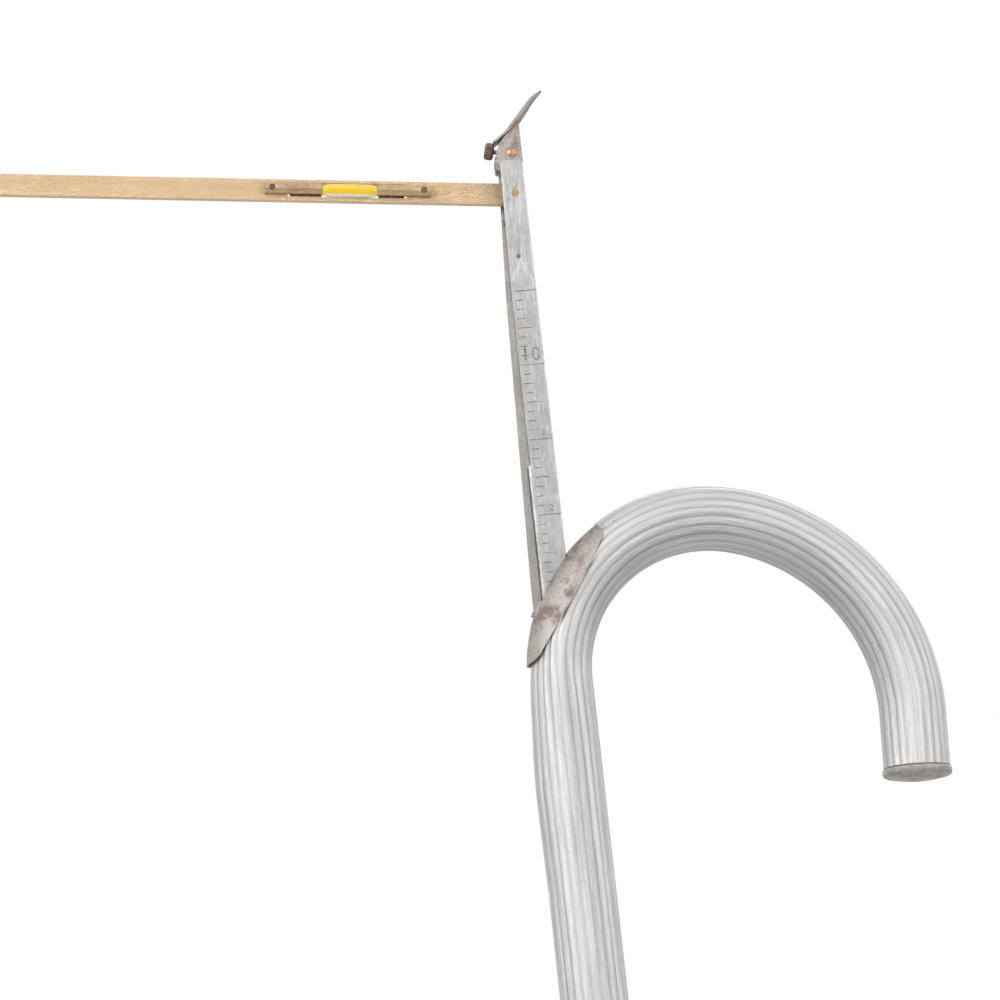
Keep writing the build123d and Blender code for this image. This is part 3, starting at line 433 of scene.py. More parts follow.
metals = {
    "reeded_aluminium": {
        "along": "unbent", "colour": (0.501, 0.493, 0.493), "tarnished": (0.416, 0.404, 0.397),
        "bright": (0.616, 0.608, 0.608), "spot": (0.231, 0.216, 0.2), "groove": (0.308, 0.293, 0.281),
        "patchScale": 260, "patch": (0.36, 0.66), "patchStretch": (0.05, 1, 1), "grain": (50, 1500, 1500),
        "scratch": 0.75, "speckScale": 520, "speckSize": 0.22, "speckShare": 0.16, "rough": (0.40, 0.52),
        "bump": 1.0,
    },
    "turned_aluminium": {
        "colour": (0.354, 0.331, 0.308), "tarnished": (0.254, 0.231, 0.208), "bright": (0.508, 0.493, 0.477),
        "spot": (0.123, 0.108, 0.092), "patchScale": 200, "patch": (0.4, 0.65), "grain": (700, 700, 700),
        "scratch": 0.6, "speckScale": 700, "speckSize": 0.3, "speckShare": 0.3, "rough": (0.28, 0.44),
        "bump": 0.9,
    },
    "rule_aluminium": {
        "colour": (0.424, 0.416, 0.412), "tarnished": (0.339, 0.331, 0.323), "bright": (0.524, 0.52, 0.516),
        "spot": (0.2, 0.177, 0.154), "patchScale": 120, "patch": (0.4, 0.7), "grain": (1100, 1100, 90),
        "scratch": 0.6, "speckScale": 520, "speckSize": 0.2, "speckShare": 0.22, "rough": (0.38, 0.50),
        # painted shade: the channel's inside (web and back flange) is darker, where the front flange keeps the
        # light off it
        "bump": 0.55, "dirtAndShade": (("Y", -1.5, 1.5, (0.231, 0.208, 0.185), 0.75),
                               # darker towards the bottom of the rule
                               ("Z", 1085, 1035, (0.308, 0.293, 0.281), 0.3)),
    },
    # painted shade: a darker copy of the rule's aluminium for the filler, which sits back in the channel
    "shaded_filler_aluminium": {
        "colour": (0.32, 0.31, 0.30), "tarnished": (0.26, 0.25, 0.24), "bright": (0.40, 0.39, 0.38),
        "spot": (0.216, 0.193, 0.169), "patchScale": 90, "patch": (0.4, 0.7), "grain": (900, 900, 60),
        "scratch": 0.55, "speckScale": 420, "speckSize": 0.14, "speckShare": 0.16, "rough": (0.40, 0.52),
        # painted shadow: a dark line down the filler's left side, in the gap beside the back flange
        "bump": 0.55, "dirtAndShade": (("X", -2.6, -2.85, (0.039, 0.039, 0.037), 0.95),),
    },
    "worn_steel": {
        "colour": (0.362, 0.331, 0.312), "tarnished": (0.208, 0.166, 0.142), "bright": (0.462, 0.439, 0.424),
        "spot": (0.077, 0.046, 0.035), "patchScale": 150, "patch": (0.47, 0.64), "grain": (1500, 1500, 300),
        "turn": 0.5, "scratch": 0.6, "speckScale": 900, "speckSize": 0.42, "speckShare": 0.42,
        "spotDepth": 0.5, "rough": (0.50, 0.66), "bump": 1.0,
        "dirtAndShade": (("Z", 1107.0, 1111.5, (0.231, 0.146, 0.092), 0.5),
                 ("Z", 1112.5, 1115.5, (0.339, 0.316, 0.3), 0.8)),
    },
    "dark_steel": {
        "colour": (0.162, 0.139, 0.123), "tarnished": (0.115, 0.065, 0.042), "bright": (0.323, 0.293, 0.269),
        "spot": (0.039, 0.023, 0.015), "patchScale": 260, "patch": (0.42, 0.62), "grain": (700, 700, 700),
        "scratch": 0.4, "speckScale": 600, "speckSize": 0.3, "speckShare": 0.3, "rough": (0.4, 0.6),
        "bump": 0.8,
    },
    "spring_steel": {
        "colour": (0.216, 0.2, 0.185), "tarnished": (0.131, 0.112, 0.096), "bright": (0.385, 0.37, 0.354),
        "spot": (0.092, 0.069, 0.054), "patchScale": 150, "patch": (0.45, 0.7), "grain": (600, 600, 80),
        "scratch": 0.5, "speckScale": 500, "speckSize": 0.2, "speckShare": 0.2, "rough": (0.3, 0.45),
        "bump": 0.5,
    },
    "plain_brass": {
        "colour": (0.431, 0.285, 0.154), "tarnished": (0.262, 0.162, 0.089), "bright": (0.57, 0.424, 0.262),
        "spot": (0.154, 0.085, 0.046), "patchScale": 120, "patch": (0.42, 0.7), "grain": (500, 500, 80),
        "scratch": 0.5, "speckScale": 480, "speckSize": 0.2, "speckShare": 0.2, "rough": (0.38, 0.52),
        "bump": 0.7,
    },
    "arm_brass": {
        "colour": (1.0, 0.87, 0.64), "tarnished": (0.95, 0.76, 0.50), "bright": (1.0, 0.95, 0.80),
        "spot": (0.26, 0.15, 0.08), "patchScale": 170, "patch": (0.36, 0.60), "patchStretch": (0.35, 1, 1),
        "fineAmount": 0.6, "grain": (170, 2300, 2300), "turn": 0.1047, "scratch": 0.9,
        "brightLines": 0.9, "speckScale": 620, "speckSize": 0.30, "speckShare": 0.24, "spotDepth": 0.7,
        "rough": (0.26, 0.42), "bump": 1.0, "relief": 0.12,
        # painted shade: the arm's colour darkens along its length
        "paintedShade": (-0.155, -0.045, (0.52, 0.35, 0.19), 0.8),
    },
    "sleeve_brass": {
        "colour": (0.477, 0.339, 0.2), "tarnished": (0.246, 0.154, 0.085), "bright": (0.693, 0.57, 0.408),
        "spot": (0.092, 0.046, 0.023), "patchScale": 160, "patch": (0.50, 0.80), "grain": (60, 1200, 1200),
        "turn": 0.1047, "scratch": 0.4, "speckScale": 520, "speckSize": 0.22, "speckShare": 0.2,
        "rough": (0.22, 0.32), "bump": 0.4,
    },
    "solder": {
        "colour": (0.123, 0.077, 0.046), "tarnished": (0.062, 0.039, 0.023), "bright": (0.262, 0.193, 0.131),
        "spot": (0.031, 0.015, 0.008), "patchScale": 260, "patch": (0.4, 0.6), "grain": (400, 400, 400),
        "scratch": 0.3, "speckScale": 600, "speckSize": 0.3, "speckShare": 0.3, "rough": (0.5, 0.65),
        "bump": 0.6,
    },
    "engraving": {
        "colour": (0.354, 0.339, 0.323), "tarnished": (0.154, 0.146, 0.139), "bright": (0.508, 0.501, 0.493),
        "spot": (0.039, 0.039, 0.031), "patchScale": 300, "patch": (0.35, 0.6), "grain": (400, 400, 400),
        "scratch": 0.6, "speckScale": 700, "speckSize": 0.3, "speckShare": 0.3, "rough": (0.4, 0.6),
        "bump": 0.4,
    },
}
made = {name: makeMetal(name, look) for name, look in metals.items()}


vialLook = {                            # lengths across are heights from the vial's middle
    "liquid": (0.80, 0.53, 0.0),
    "deep": (0.80, 0.44, 0.0),
    "clear": (0.80, 0.80, 0.73),
    "bubble": (0.62, 0.60, 0.08),
    "shine": (0.90, 0.72, 0.10),
    "middle": (54.95, -0.3, 0.75),      # along the arm, depth, above the pivot line
    "bubbleAt": (4.4, 0.55),            # from the middle towards the pivot, and up
    "bubbleHalf": (2.6, 1.0),
    "clearEnds": (8.8, 9.6),            # distances from the middle between which the colour fades
    "darkBelow": (-0.4, -2.0),
    "clearBelow": (-1.45, -1.75),
    "shineAt": 0.75,
    "shineHalf": (0.34, 0.16),
    "rough": (0.06, 0.16),
    "coat": (0.5, 0.03),                # weight, roughness
    "glow": (0.3, 1.2),                 # scattering inside: weight, depth
}


def makeVialGlass(look):
    material = bpy.data.materials.new("vial_glass")
    material.use_nodes = True
    tree = material.node_tree
    shader = tree.nodes["Principled BSDF"]
    middle = onArm(*look["middle"]) * mm
    coords = addNode(tree, "ShaderNodeTexCoord").outputs["Object"]
    moved = addNode(tree, "ShaderNodeMapping", {"vector_type": "TEXTURE"}, {
        "Vector": coords, "Location": tuple(middle), "Rotation": (0, rise, 0)})
    place = split(tree, moved.outputs[0])
    x, z = place["X"], place["Z"]

    def between(value, limits):
        return ramp(tree, value, limits[0] * mm, limits[1] * mm)

    squares = []
    for value, centre, half in zip((x, z), look["bubbleAt"], look["bubbleHalf"]):
        share = maths(tree, "DIVIDE", maths(tree, "SUBTRACT", value, centre * mm), half * mm)
        squares.append(maths(tree, "POWER", share, 2.0))
    outward = maths(tree, "ADD", *squares)
    shine = between(maths(tree, "ABSOLUTE", maths(tree, "SUBTRACT", z, look["shineAt"] * mm)), look["shineHalf"])
    clouds = useEffect(tree, "tarnish", {"Vector": coords, "Scale": 160, "From": 0.4, "To": 0.7})
    colour = look["liquid"]
    for mask, shade, amount in (
            (clouds, "deep", 0.25),
            (shine, "shine", 0.7),
            (between(z, look["darkBelow"]), "deep", 0.6),
            (ramp(tree, outward, 1.5, 1.05), "deep", 0.5),
            (ramp(tree, outward, 1.1, 0.75), "bubble", 0.6),
            (between(z, look["clearBelow"]), "clear", 0.8),
            (between(maths(tree, "ABSOLUTE", x), look["clearEnds"]), "clear", 0.85)):
        colour = blend(tree, mask, colour, look[shade], amount)
    tree.links.new(colour, shader.inputs["Base Color"])
    rough = addNode(tree, "ShaderNodeMapRange", feeds={
        "Value": clouds, "To Min": look["rough"][0], "To Max": look["rough"][1]})
    tree.links.new(rough.outputs[0], shader.inputs["Roughness"])
    shader.inputs["Coat Weight"].default_value, shader.inputs["Coat Roughness"].default_value = look["coat"]
    shader.inputs["Subsurface Weight"].default_value = look["glow"][0]
    shader.inputs["Subsurface Scale"].default_value = look["glow"][1] * mm
    return material


made["vial_glass"] = makeVialGlass(vialLook)
for entry in frame["record"]["subparts"]:
    thing = nodes[entry["node"]]
    thing.data.materials.clear()
    finish = "dark_steel" if "screw" in entry["node"] else entry["material_slot"]
    thing.data.materials.append(made[finish])
print("finishes made:", len(made))


# Cane tube: one reeded tube swept along shaft and crook

tube = {
    "foot": 24.0,
    "bendStart": 922.5,
    "bends": ((50.1, 104.5), (68.2, 78.5)),     # radius, degrees
    "tail": 17.5,
    "crestRadius": 10.85,
    "boreRadius": 9.2,
    "reedDepth": 0.34,
    "reeds": 22,
    "pointsPerReed": 12,
    "plainRings": 20,
    "closeBelow": 100,                  # rings are close together from this far below the bend
    "closeStep": 4.0,
    "bendStep": 2.2,                    # degrees between rings
    "tailRings": 4,
    "leftTop": 990,                     # the left side is squeezed up to here: height, share of its width
    "leftSide": ((855, 1.0), (862, 1.015), (877, 1.04), (887, 1.055), (897, 1.03), (905, 0.985), (912.7, 0.94),
                 (916.6, 0.925), (920.6, 0.89), (924.6, 0.855), (928.5, 0.812), (960, 0.80)),
}


def tubePath(setup):
    foot, close, step, plain = (setup[key] for key in ("foot", "closeBelow", "closeStep", "plainRings"))
    start = setup["bendStart"] - close
    points = [(0.0, foot + (start - foot) * i / plain) for i in range(plain)]
    points += [(0.0, start + step * i) for i in range(round(close / step))]
    x, z, turn = 0.0, setup["bendStart"], 0.0
    points.append((x, z))
    for radius, degrees in setup["bends"]:
        centreX, centreZ = x + radius * math.cos(turn), z - radius * math.sin(turn)
        steps = round(degrees / setup["bendStep"])
        for i in range(1, steps + 1):
            angle = turn + math.radians(degrees) * i / steps
            points.append((centreX - radius * math.cos(angle), centreZ + radius * math.sin(angle)))
        x, z = points[-1]
        turn += math.radians(degrees)
    for i in range(1, setup["tailRings"] + 1):
        reach = setup["tail"] * i / setup["tailRings"]
        points.append((x + reach * math.sin(turn), z + reach * math.cos(turn)))
    return [Vector((px, 0, pz)) * mm for px, pz in points]


def reededTubeTree():
    tree, given = newTree("reededTube", {
        "Reeds": "Int", "Points per reed": "Int", "Crest radius": "Float", "Reed depth": "Float",
        "Bore radius": "Float", "Phase": "Float", "Material": "Material"})
    path = addNode(tree, "GeometryNodeMeshToCurve", feeds={"Mesh": given["Geometry"]})
    path = addNode(tree, "GeometryNodeSetCurveNormal", {"mode": "FREE"}, {
        "Curve": path.outputs[0], "Normal": (0, 1, 0)})
    length = addNode(tree, "GeometryNodeSplineParameter").outputs["Length"]
    path = addNode(tree, "GeometryNodeStoreNamedAttribute", {"data_type": "FLOAT", "domain": "POINT"}, {
        "Geometry": path.outputs[0], "Name": "reach", "Value": length})
    count = maths(tree, "MULTIPLY", given["Reeds"], given["Points per reed"])
    ring = addNode(tree, "GeometryNodeCurvePrimitiveCircle", feeds={"Resolution": count, "Radius": 1.0})
    index = addNode(tree, "GeometryNodeInputIndex").outputs[0]
    place = maths(tree, "ADD", maths(tree, "DIVIDE", index, given["Points per reed"]), given["Phase"])
    share = maths(tree, "ABSOLUTE", maths(tree, "SUBTRACT", maths(tree, "FRACT", place), 0.5))
    dip = maths(tree, "POWER", maths(tree, "MULTIPLY", share, 2.0), 2.2)
    radius = maths(tree, "SUBTRACT", given["Crest radius"], maths(tree, "MULTIPLY", dip, given["Reed depth"]))
    spot = addNode(tree, "GeometryNodeInputPosition").outputs[0]
    ring = addNode(tree, "GeometryNodeStoreNamedAttribute", {"data_type": "FLOAT", "domain": "POINT"}, {
        "Geometry": ring.outputs[0], "Name": "groove", "Value": dip})
    scaled = addNode(tree, "ShaderNodeVectorMath", {"operation": "SCALE"}, {0: spot, "Scale": radius})
    ring = addNode(tree, "GeometryNodeSetPosition", feeds={
        "Geometry": ring.outputs[0], "Position": scaled.outputs[0]})
    ring = addNode(tree, "GeometryNodeStoreNamedAttribute", {"data_type": "FLOAT_VECTOR", "domain": "POINT"}, {
        "Geometry": ring.outputs[0], "Name": "across", "Value": spot})
    outside = addNode(tree, "GeometryNodeCurveToMesh", feeds={
        "Curve": path.outputs[0], "Profile Curve": ring.outputs[0]})
    reach = addNode(tree, "GeometryNodeInputNamedAttribute", {"data_type": "FLOAT"}, {"Name": "reach"})
    across = addNode(tree, "GeometryNodeInputNamedAttribute", {"data_type": "FLOAT_VECTOR"}, {"Name": "across"})
    across = split(tree, across.outputs[0])
    unbent = addNode(tree, "ShaderNodeCombineXYZ", feeds={
        "X": reach.outputs[0], "Y": across["X"], "Z": across["Y"]})
    outside = addNode(tree, "GeometryNodeStoreNamedAttribute", {"data_type": "FLOAT_VECTOR", "domain": "POINT"}, {
        "Geometry": outside.outputs[0], "Name": "unbent", "Value": unbent.outputs[0]})
    hole = addNode(tree, "GeometryNodeCurvePrimitiveCircle", feeds={
        "Resolution": maths(tree, "MULTIPLY", given["Reeds"], 3), "Radius": given["Bore radius"]})
    inside = addNode(tree, "GeometryNodeCurveToMesh", feeds={
        "Curve": path.outputs[0], "Profile Curve": hole.outputs[0]})
    inside = addNode(tree, "GeometryNodeFlipFaces", feeds={"Mesh": inside.outputs[0]})
    both = addNode(tree, "GeometryNodeJoinGeometry")
    for part in (inside, outside):
        tree.links.new(part.outputs[0], both.inputs[0])
    endTree(tree, both.outputs[0], given["Material"])
    return tree


def leftFactor(setup, z):
    places = setup["leftSide"]
    if z <= places[0][0]:
        return 1.0
    for (z0, f0), (z1, f1) in zip(places, places[1:]):
        if z <= z1:
            t = (z - z0) / (z1 - z0)
            return f0 + (f1 - f0) * t
    return places[-1][1]


saddle = {                              # outline of the plate over the tube's mouth
    "crown": 10.4,                      # from the tube's centre line outwards
    "rim": ((1.115, 5.9), (0.865, 6.4), (0.582, 9.8), (0.203, 20.7), (0.034, 33.9), (0.144, 43.5),
            (0.390, 52.4), (0.654, 56.3), (1.115, 57.2)),
    "inset": 0.35,                      # the mouth's edge inside the plate's
    "halfWidth": 10.3,
    "reach": 20,                        # the cutter's size outside the outline
}


def mouthCutter(setup):
    radius, rows = tube["bends"][0][0], []
    for share, degrees in setup["rim"]:
        reach, angle = radius + share * setup["crown"] + setup["inset"], math.radians(degrees)
        rows.append((radius - reach * math.cos(angle), tube["bendStart"] + reach * math.sin(angle)))
    rows[0] = (rows[0][0], rows[0][1] + setup["inset"])
    left, top = rows[0][0] - setup["reach"], rows[-1][1] + setup["reach"]
    rows += [(rows[-1][0], top), (left, top), (left, rows[0][1])]
    grid = bmesh.new()
    half = setup["halfWidth"]
    front = [grid.verts.new(Vector((x, -half, z)) * mm) for x, z in rows]
    face = grid.faces.new(front)
    wall = bmesh.ops.extrude_face_region(grid, geom=[face])
    moved = [v for v in wall["geom"] if isinstance(v, bmesh.types.BMVert)]
    bmesh.ops.translate(grid, verts=moved, vec=(0, 2 * half * mm, 0))
    return addObject("mouth", gridMesh(grid, "mouth"))


def makeTube(setup):
    path = tubePath(setup)
    mesh = bpy.data.meshes.new("reededTube")
    mesh.from_pydata(path, [(i, i + 1) for i in range(len(path) - 1)], [])
    piece = addObject("reededTube", mesh)
    setInputs(piece, reededTubeTree(), {
        "Reeds": setup["reeds"], "Points per reed": setup["pointsPerReed"],
        "Crest radius": setup["crestRadius"] * mm, "Reed depth": setup["reedDepth"] * mm,
        "Bore radius": setup["boreRadius"] * mm, "Phase": 0.5, "Material": made["reeded_aluminium"]})
    settle(piece)
    grid = bmesh.new()
    grid.from_mesh(piece.data)
    for vert in grid.verts:
        z = vert.co.z / mm
        if vert.co.x < 0 and z < setup["leftTop"]:
            vert.co.x *= leftFactor(setup, z)
    ends = [edge for edge in grid.edges if edge.is_boundary]
    low = [edge for edge in ends if edge.verts[0].co.z < setup["bendStart"] / 2 * mm]
    bmesh.ops.bridge_loops(grid, edges=low)
    bmesh.ops.bridge_loops(grid, edges=[edge for edge in ends if edge not in low])
    bmesh.ops.recalc_face_normals(grid, faces=grid.faces)
    grid.to_mesh(piece.data)
    grid.free()
    cutAway(piece, mouthCutter(saddle))
    smooth(piece.data, 50)
    finishPiece(piece, "cane", "reeded_aluminium", "cane_tube")


makeTube(tube)
print("cane tube made")


# Rule: bevelled channel with the scale cut into its front flange

scale = {
    "tenHands": 1028.2,                 # height of the 10-hand line on the rule
    "inch": 25.4,
    "topInches": -1,                    # scale starts one inch before the 10-hand line
    "inches": 32,
    "faceY": -4.25,
    "left": -1.95,
    "edge": 0.12,                       # how far the channel's edges are eased
    "short": (0.9, 3.3),                # start and end from the left edge
    "half": (0.9, 5.4),
    "full": (0.5, 8.25),
    "lineWidth": 0.26,
    "depth": 0.16,
    "numberDepth": 0.12,
    "numberSpread": 1.1,
    "handSize": 6.4,
    "handPlace": (3.9, 1.5),            # from the left edge, above the line
    "inchSize": 3.2,
    "inchPlace": (5.3, 1.2),
}


def graduationTree():
    tree, given = newTree("graduation", {
        "Lines": "Int", "Step": "Float", "First": "Vector", "Short": "Float", "Half": "Float",
        "Full": "Float", "Indent": "Float", "Full indent": "Float", "Line width": "Float",
        "Depth": "Float", "Material": "Material"})
    down = addNode(tree, "ShaderNodeCombineXYZ", feeds={"Z": maths(tree, "MULTIPLY", given["Step"], -1.0)})
    line = addNode(tree, "GeometryNodeMeshLine", {"mode": "OFFSET"}, {
        "Count": given["Lines"], "Start Location": given["First"], "Offset": down.outputs[0]})
    index = addNode(tree, "GeometryNodeInputIndex").outputs[0]
    eighth = maths(tree, "MODULO", index, 8.0)
    isFull = maths(tree, "LESS_THAN", eighth, 0.5)
    isHalf = maths(tree, "COMPARE", eighth, 4.0, 0.5)
    length = addNode(tree, "ShaderNodeMix", feeds={0: isHalf, 2: given["Short"], 3: given["Half"]}).outputs[0]
    length = addNode(tree, "ShaderNodeMix", feeds={0: isFull, 2: length, 3: given["Full"]}).outputs[0]
    indent = addNode(tree, "ShaderNodeMix", feeds={
        0: isFull, 2: given["Indent"], 3: given["Full indent"]}).outputs[0]
    centre = addNode(tree, "ShaderNodeCombineXYZ", feeds={
        "X": maths(tree, "ADD", indent, maths(tree, "MULTIPLY", length, 0.5))})
    placed = addNode(tree, "GeometryNodeSetPosition", feeds={
        "Geometry": line.outputs[0], "Offset": centre.outputs[0]})
    cube = addNode(tree, "GeometryNodeMeshCube", feeds={"Size": (1, 1, 1)})
    size = addNode(tree, "ShaderNodeCombineXYZ", feeds={
        "X": length, "Y": maths(tree, "MULTIPLY", given["Depth"], 2.0), "Z": given["Line width"]})
    lines = addNode(tree, "GeometryNodeInstanceOnPoints", feeds={
        "Points": placed.outputs[0], "Instance": cube.outputs[0], "Scale": size.outputs[0]})
    endTree(tree, lines.outputs[0], given["Material"])
    return tree


def makeNumber(words, size, x, z, setup):
    data = bpy.data.curves.new("number", "FONT")
    data.body = words
    data.size = size * mm
    data.extrude = setup["numberDepth"] * mm
    data.space_character = setup["numberSpread"]
    data.align_x = "CENTER"
    text = addObject("number", data)
    mesh = evaluatedMesh(text)
    bpy.data.objects.remove(text)
    grid = bmesh.new()
    grid.from_mesh(mesh)
    bmesh.ops.remove_doubles(grid, verts=grid.verts, dist=1e-7)
    grid.to_mesh(mesh)
    grid.free()
    upright = Matrix.Rotation(math.pi / 2, 4, "X")
    mesh.transform(Matrix.Translation(Vector((x, setup["faceY"], z)) * mm) @ upright)
    return mesh


def makeLineCutter(setup):
    top = setup["tenHands"] - setup["topInches"] * setup["inch"]
    line = addObject("scaleLines", bpy.data.meshes.new("scaleLines"))
    sizes = {"Lines": 8 * setup["inches"] + 1, "Step": setup["inch"] / 8 * mm,
             "First": Vector((setup["left"], setup["faceY"], top)) * mm,
             "Indent": setup["short"][0] * mm, "Full indent": setup["full"][0] * mm,
             "Line width": setup["lineWidth"] * mm, "Depth": setup["depth"] * mm,
             "Material": made["engraving"]}
    for key in ("short", "half", "full"):
        sizes[key.capitalize()] = (setup[key][1] - setup[key][0]) * mm
    setInputs(line, graduationTree(), sizes)
    return settle(line)


def makeNumberCutter(setup):
    grid = bmesh.new()
    for inches in range(setup["inches"] + setup["topInches"]):
        hands, rest = divmod(inches, 4)
        kind, words = ("inch", str(rest)) if rest else ("hand", str(10 + hands))
        aside, above = setup[kind + "Place"]
        line = setup["tenHands"] - inches * setup["inch"]
        grid.from_mesh(makeNumber(words, setup[kind + "Size"], setup["left"] + aside, line + above, setup))
    return addObject("scaleNumbers", gridMesh(grid, "scaleNumbers", "engraving"))


def makeRule(setup):
    piece = cadCopy("rule_channel", "ruleChannel")
    piece.data.materials.append(made["rule_aluminium"])
    easeEdges(piece, setup["edge"])
    cutAway(piece, makeLineCutter(setup))
    cutAway(piece, makeNumberCutter(setup))
    smooth(piece.data, 35, 0.06)
    finishPiece(piece, "rule", "rule_aluminium", "rule_channel")


makeRule(scale)
print("rule and scale made")


# Pieces whose edges are eased by wear

easedPieces = {
    "ruleFiller": ("rule_filler", "rule", "rule_aluminium", 0.10),
    "armBar": ("arm_bar", "arm", "arm_brass", 0.22),
    "headBracket": ("head_bracket", "rule", "worn_steel", 0.12),
    "capPlate": ("cap_plate", "rule", "worn_steel", 0.14),
    "levelSleeveNear": ("level_sleeve_near", "arm", "sleeve_brass", 0.10),
    "levelSleeveFar": ("level_sleeve_far", "arm", "sleeve_brass", 0.10),
    "saddlePlate": ("saddle_plate", "cane", "worn_steel", 0.18),
}
for pieceName, (node, body, slot, width) in easedPieces.items():
    piece = cadCopy(node, pieceName)
    # the filler gets the darker copy of the rule's aluminium, with painted shade
    finish = "shaded_filler_aluminium" if node == "rule_filler" else slot
    piece.data.materials.append(made[finish])
    easeEdges(piece, width)
    finishPiece(piece, body, slot, node)
print("eased pieces made:", len(easedPieces))


# Solder bed behind the level's sleeves, in the arm's slot

solderBed = {
    "axis": 1.05,                       # above the pivot line
    "depth": -0.4,
    "inner": 2.03,
    "outer": 2.5,
    "from": 265,                        # degrees round the sleeve, 270 straight down, 360 to the back
    "to": 350,
    "runs": ((36.9, 45.5), (64.4, 74.9)),   # along the arm
    "roundSteps": 12,
    "runSteps": 24,
    "waves": ((0.03, 5.1), (0.02, 11.3)),   # height and pace of the ripples outside
}


def solderRing(grid, setup, u):
    steps = setup["roundSteps"]
    ripple = sum(high * math.sin(pace * u) for high, pace in setup["waves"])
    corners = []
    for r, turns in ((setup["inner"], range(steps + 1)), (setup["outer"] + ripple, range(steps, -1, -1))):
        for i in turns:
            a = math.radians(setup["from"] + (setup["to"] - setup["from"]) * i / steps)
            corners.append(onArm(u, setup["depth"] + r * math.cos(a), setup["axis"] + r * math.sin(a)))
    return [grid.verts.new(corner * mm) for corner in corners]


def makeSolderBed(setup):
    grid = bmesh.new()
    for start, end in setup["runs"]:
        rings = [solderRing(grid, setup, start + (end - start) * k / setup["runSteps"])
                 for k in range(setup["runSteps"] + 1)]
        for low, high in zip(rings, rings[1:]):
            for i, corner in enumerate(low):
                j = (i + 1) % len(low)
                grid.faces.new((corner, low[j], high[j], high[i]))
        grid.faces.new(rings[0])
        grid.faces.new(rings[-1])
    mesh = gridMesh(grid, "solderBed", "solder")
    smooth(mesh, 40)
    piece = addObject("solderBed", mesh)
    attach(piece, "arm")


makeSolderBed(solderBed)
print("solder bed made")


# Crook plug: turned, with a neck line under the tube's end and a crowned face

plug = {
    "rings": (                          # reach beyond the tube's end, radius
        (-12, 0.0), (-12, 9.2), (0.0, 9.2), (0.0, 10.0), (0.4, 10.0), (0.4, 11.05), (0.6, 11.25), (2.0, 11.3),
        (2.7, 10.95), (3.1, 10.2), (3.25, 9.0), (3.15, 8.8), (3.25, 8.6), (3.7, 7.2), (3.6, 6.9), (3.75, 6.6),
        (4.1, 4.6), (4.0, 4.3), (4.1, 4.0), (4.3, 2.0), (4.2, 1.7), (4.3, 1.3), (4.35, 0.0)),
    "steps": 96,
}


def makePlug(setup):
    path = tubePath(tube)
    ahead = (path[-1] - path[-2]).normalized()
    aside = Vector((0, 1, 0))
    over = ahead.cross(aside)
    turns = [2 * math.pi * i / setup["steps"] for i in range(setup["steps"])]
    grid = bmesh.new()
    rows = []
    for reach, radius in setup["rings"]:
        centre = path[-1] + ahead * reach * mm
        if radius == 0:
            rows.append([grid.verts.new(centre)])
        else:
            rows.append([grid.verts.new(centre + radius * mm * (math.cos(a) * aside + math.sin(a) * over))
                         for a in turns])
    for low, high in zip(rows, rows[1:]):
        for i in range(setup["steps"]):
            j = (i + 1) % setup["steps"]
            corners = [low[i % len(low)], low[j % len(low)], high[j % len(high)], high[i % len(high)]]
            grid.faces.new(list(dict.fromkeys(corners)))
    mesh = gridMesh(grid, "turnedPlug", "turned_aluminium")
    smooth(mesh, 40)
    finishPiece(addObject("turnedPlug", mesh), "cane", "turned_aluminium", "crook_plug")


makePlug(plug)
print("crook plug made")


# Catch knob: a round-edged disc with ridges round its rim

knob = {
    "at": (-2.55, 4.65),                # middle of its inner face, from the rule's top
    "top": 1099.0,
    "tilt": 13.5,
    "radius": 2.9,
    "thick": 3.1,
    "round": 0.75,                      # how far the edges are rounded
    "ridges": 22,
    "ridgeDepth": 0.2,
}


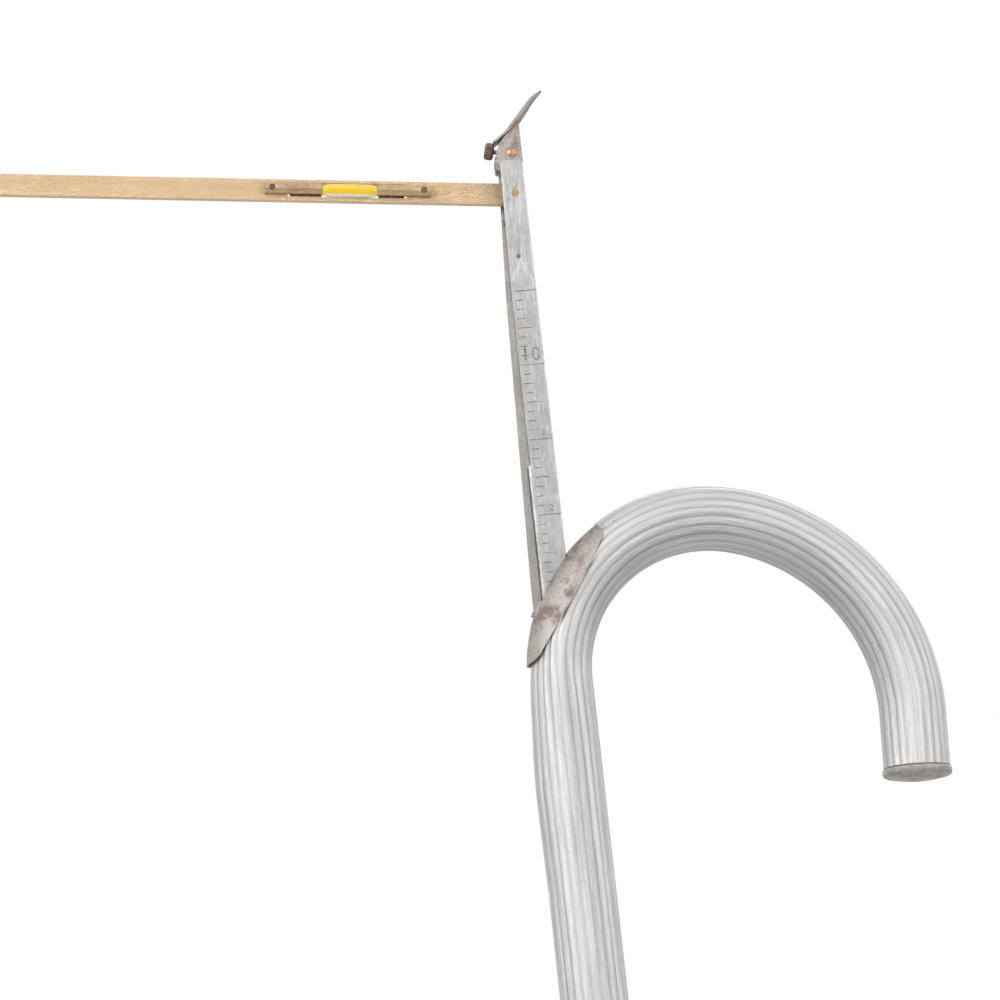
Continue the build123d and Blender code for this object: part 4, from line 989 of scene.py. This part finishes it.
def knobTree():
    tree, given = newTree("knurledKnob", {
        "Ridges": "Int", "Radius": "Float", "Thickness": "Float", "Rounding": "Float",
        "Ridge depth": "Float", "Material": "Material"})
    disc = addNode(tree, "GeometryNodeMeshCylinder", {"fill_type": "NGON"}, {
        "Vertices": maths(tree, "MULTIPLY", given["Ridges"], 8.0), "Side Segments": 14,
        "Radius": given["Radius"], "Depth": given["Thickness"]})
    place = split(tree, addNode(tree, "GeometryNodeInputPosition").outputs[0])
    half = maths(tree, "MULTIPLY", given["Thickness"], 0.5)
    share = maths(tree, "DIVIDE", maths(tree, "ABSOLUTE", place["Z"]), half)
    bow = maths(tree, "SUBTRACT", 1.0, maths(tree, "POWER", share, 3.0))
    drop = maths(tree, "SUBTRACT", 1.0, maths(tree, "POWER", bow, 0.5, clamp=True))
    drop = maths(tree, "MULTIPLY", drop, given["Rounding"])
    angle = maths(tree, "ARCTAN2", place["Y"], place["X"])
    wave = maths(tree, "COSINE", maths(tree, "MULTIPLY", angle, given["Ridges"]))
    ridge = maths(tree, "MULTIPLY", maths(tree, "MULTIPLY", wave, bow), given["Ridge depth"])
    drop = maths(tree, "ADD", drop, maths(tree, "ADD", ridge, given["Ridge depth"]))
    factor = maths(tree, "DIVIDE", maths(tree, "SUBTRACT", given["Radius"], drop), given["Radius"])
    moved = addNode(tree, "ShaderNodeCombineXYZ", feeds={
        "X": maths(tree, "MULTIPLY", place["X"], factor),
        "Y": maths(tree, "MULTIPLY", place["Y"], factor), "Z": place["Z"]})
    shaped = addNode(tree, "GeometryNodeSetPosition", feeds={
        "Geometry": disc.outputs["Mesh"], "Position": moved.outputs[0]})
    endTree(tree, shaped.outputs[0], given["Material"])
    return tree


def makeKnob(setup):
    piece = addObject("knurledKnob", bpy.data.meshes.new("knurledKnob"))
    setInputs(piece, knobTree(), {
        "Ridges": setup["ridges"], "Radius": setup["radius"] * mm, "Thickness": setup["thick"] * mm,
        "Rounding": setup["round"] * mm, "Ridge depth": setup["ridgeDepth"] / 2 * mm,
        "Material": made["dark_steel"]})
    settle(piece)
    tilt = math.radians(setup["tilt"])
    ahead = Vector((-math.cos(tilt), 0, math.sin(tilt)))
    middle = Vector((setup["at"][0], 0, setup["top"] + setup["at"][1])) + ahead * setup["thick"] / 2
    turn = ahead.to_track_quat("Z", "Y").to_matrix().to_4x4()
    piece.data.transform(Matrix.Translation(middle * mm) @ turn)
    smooth(piece.data, 60)
    finishPiece(piece, "catch", "dark_steel", "catch_knob")


makeKnob(knob)
print("knob made")
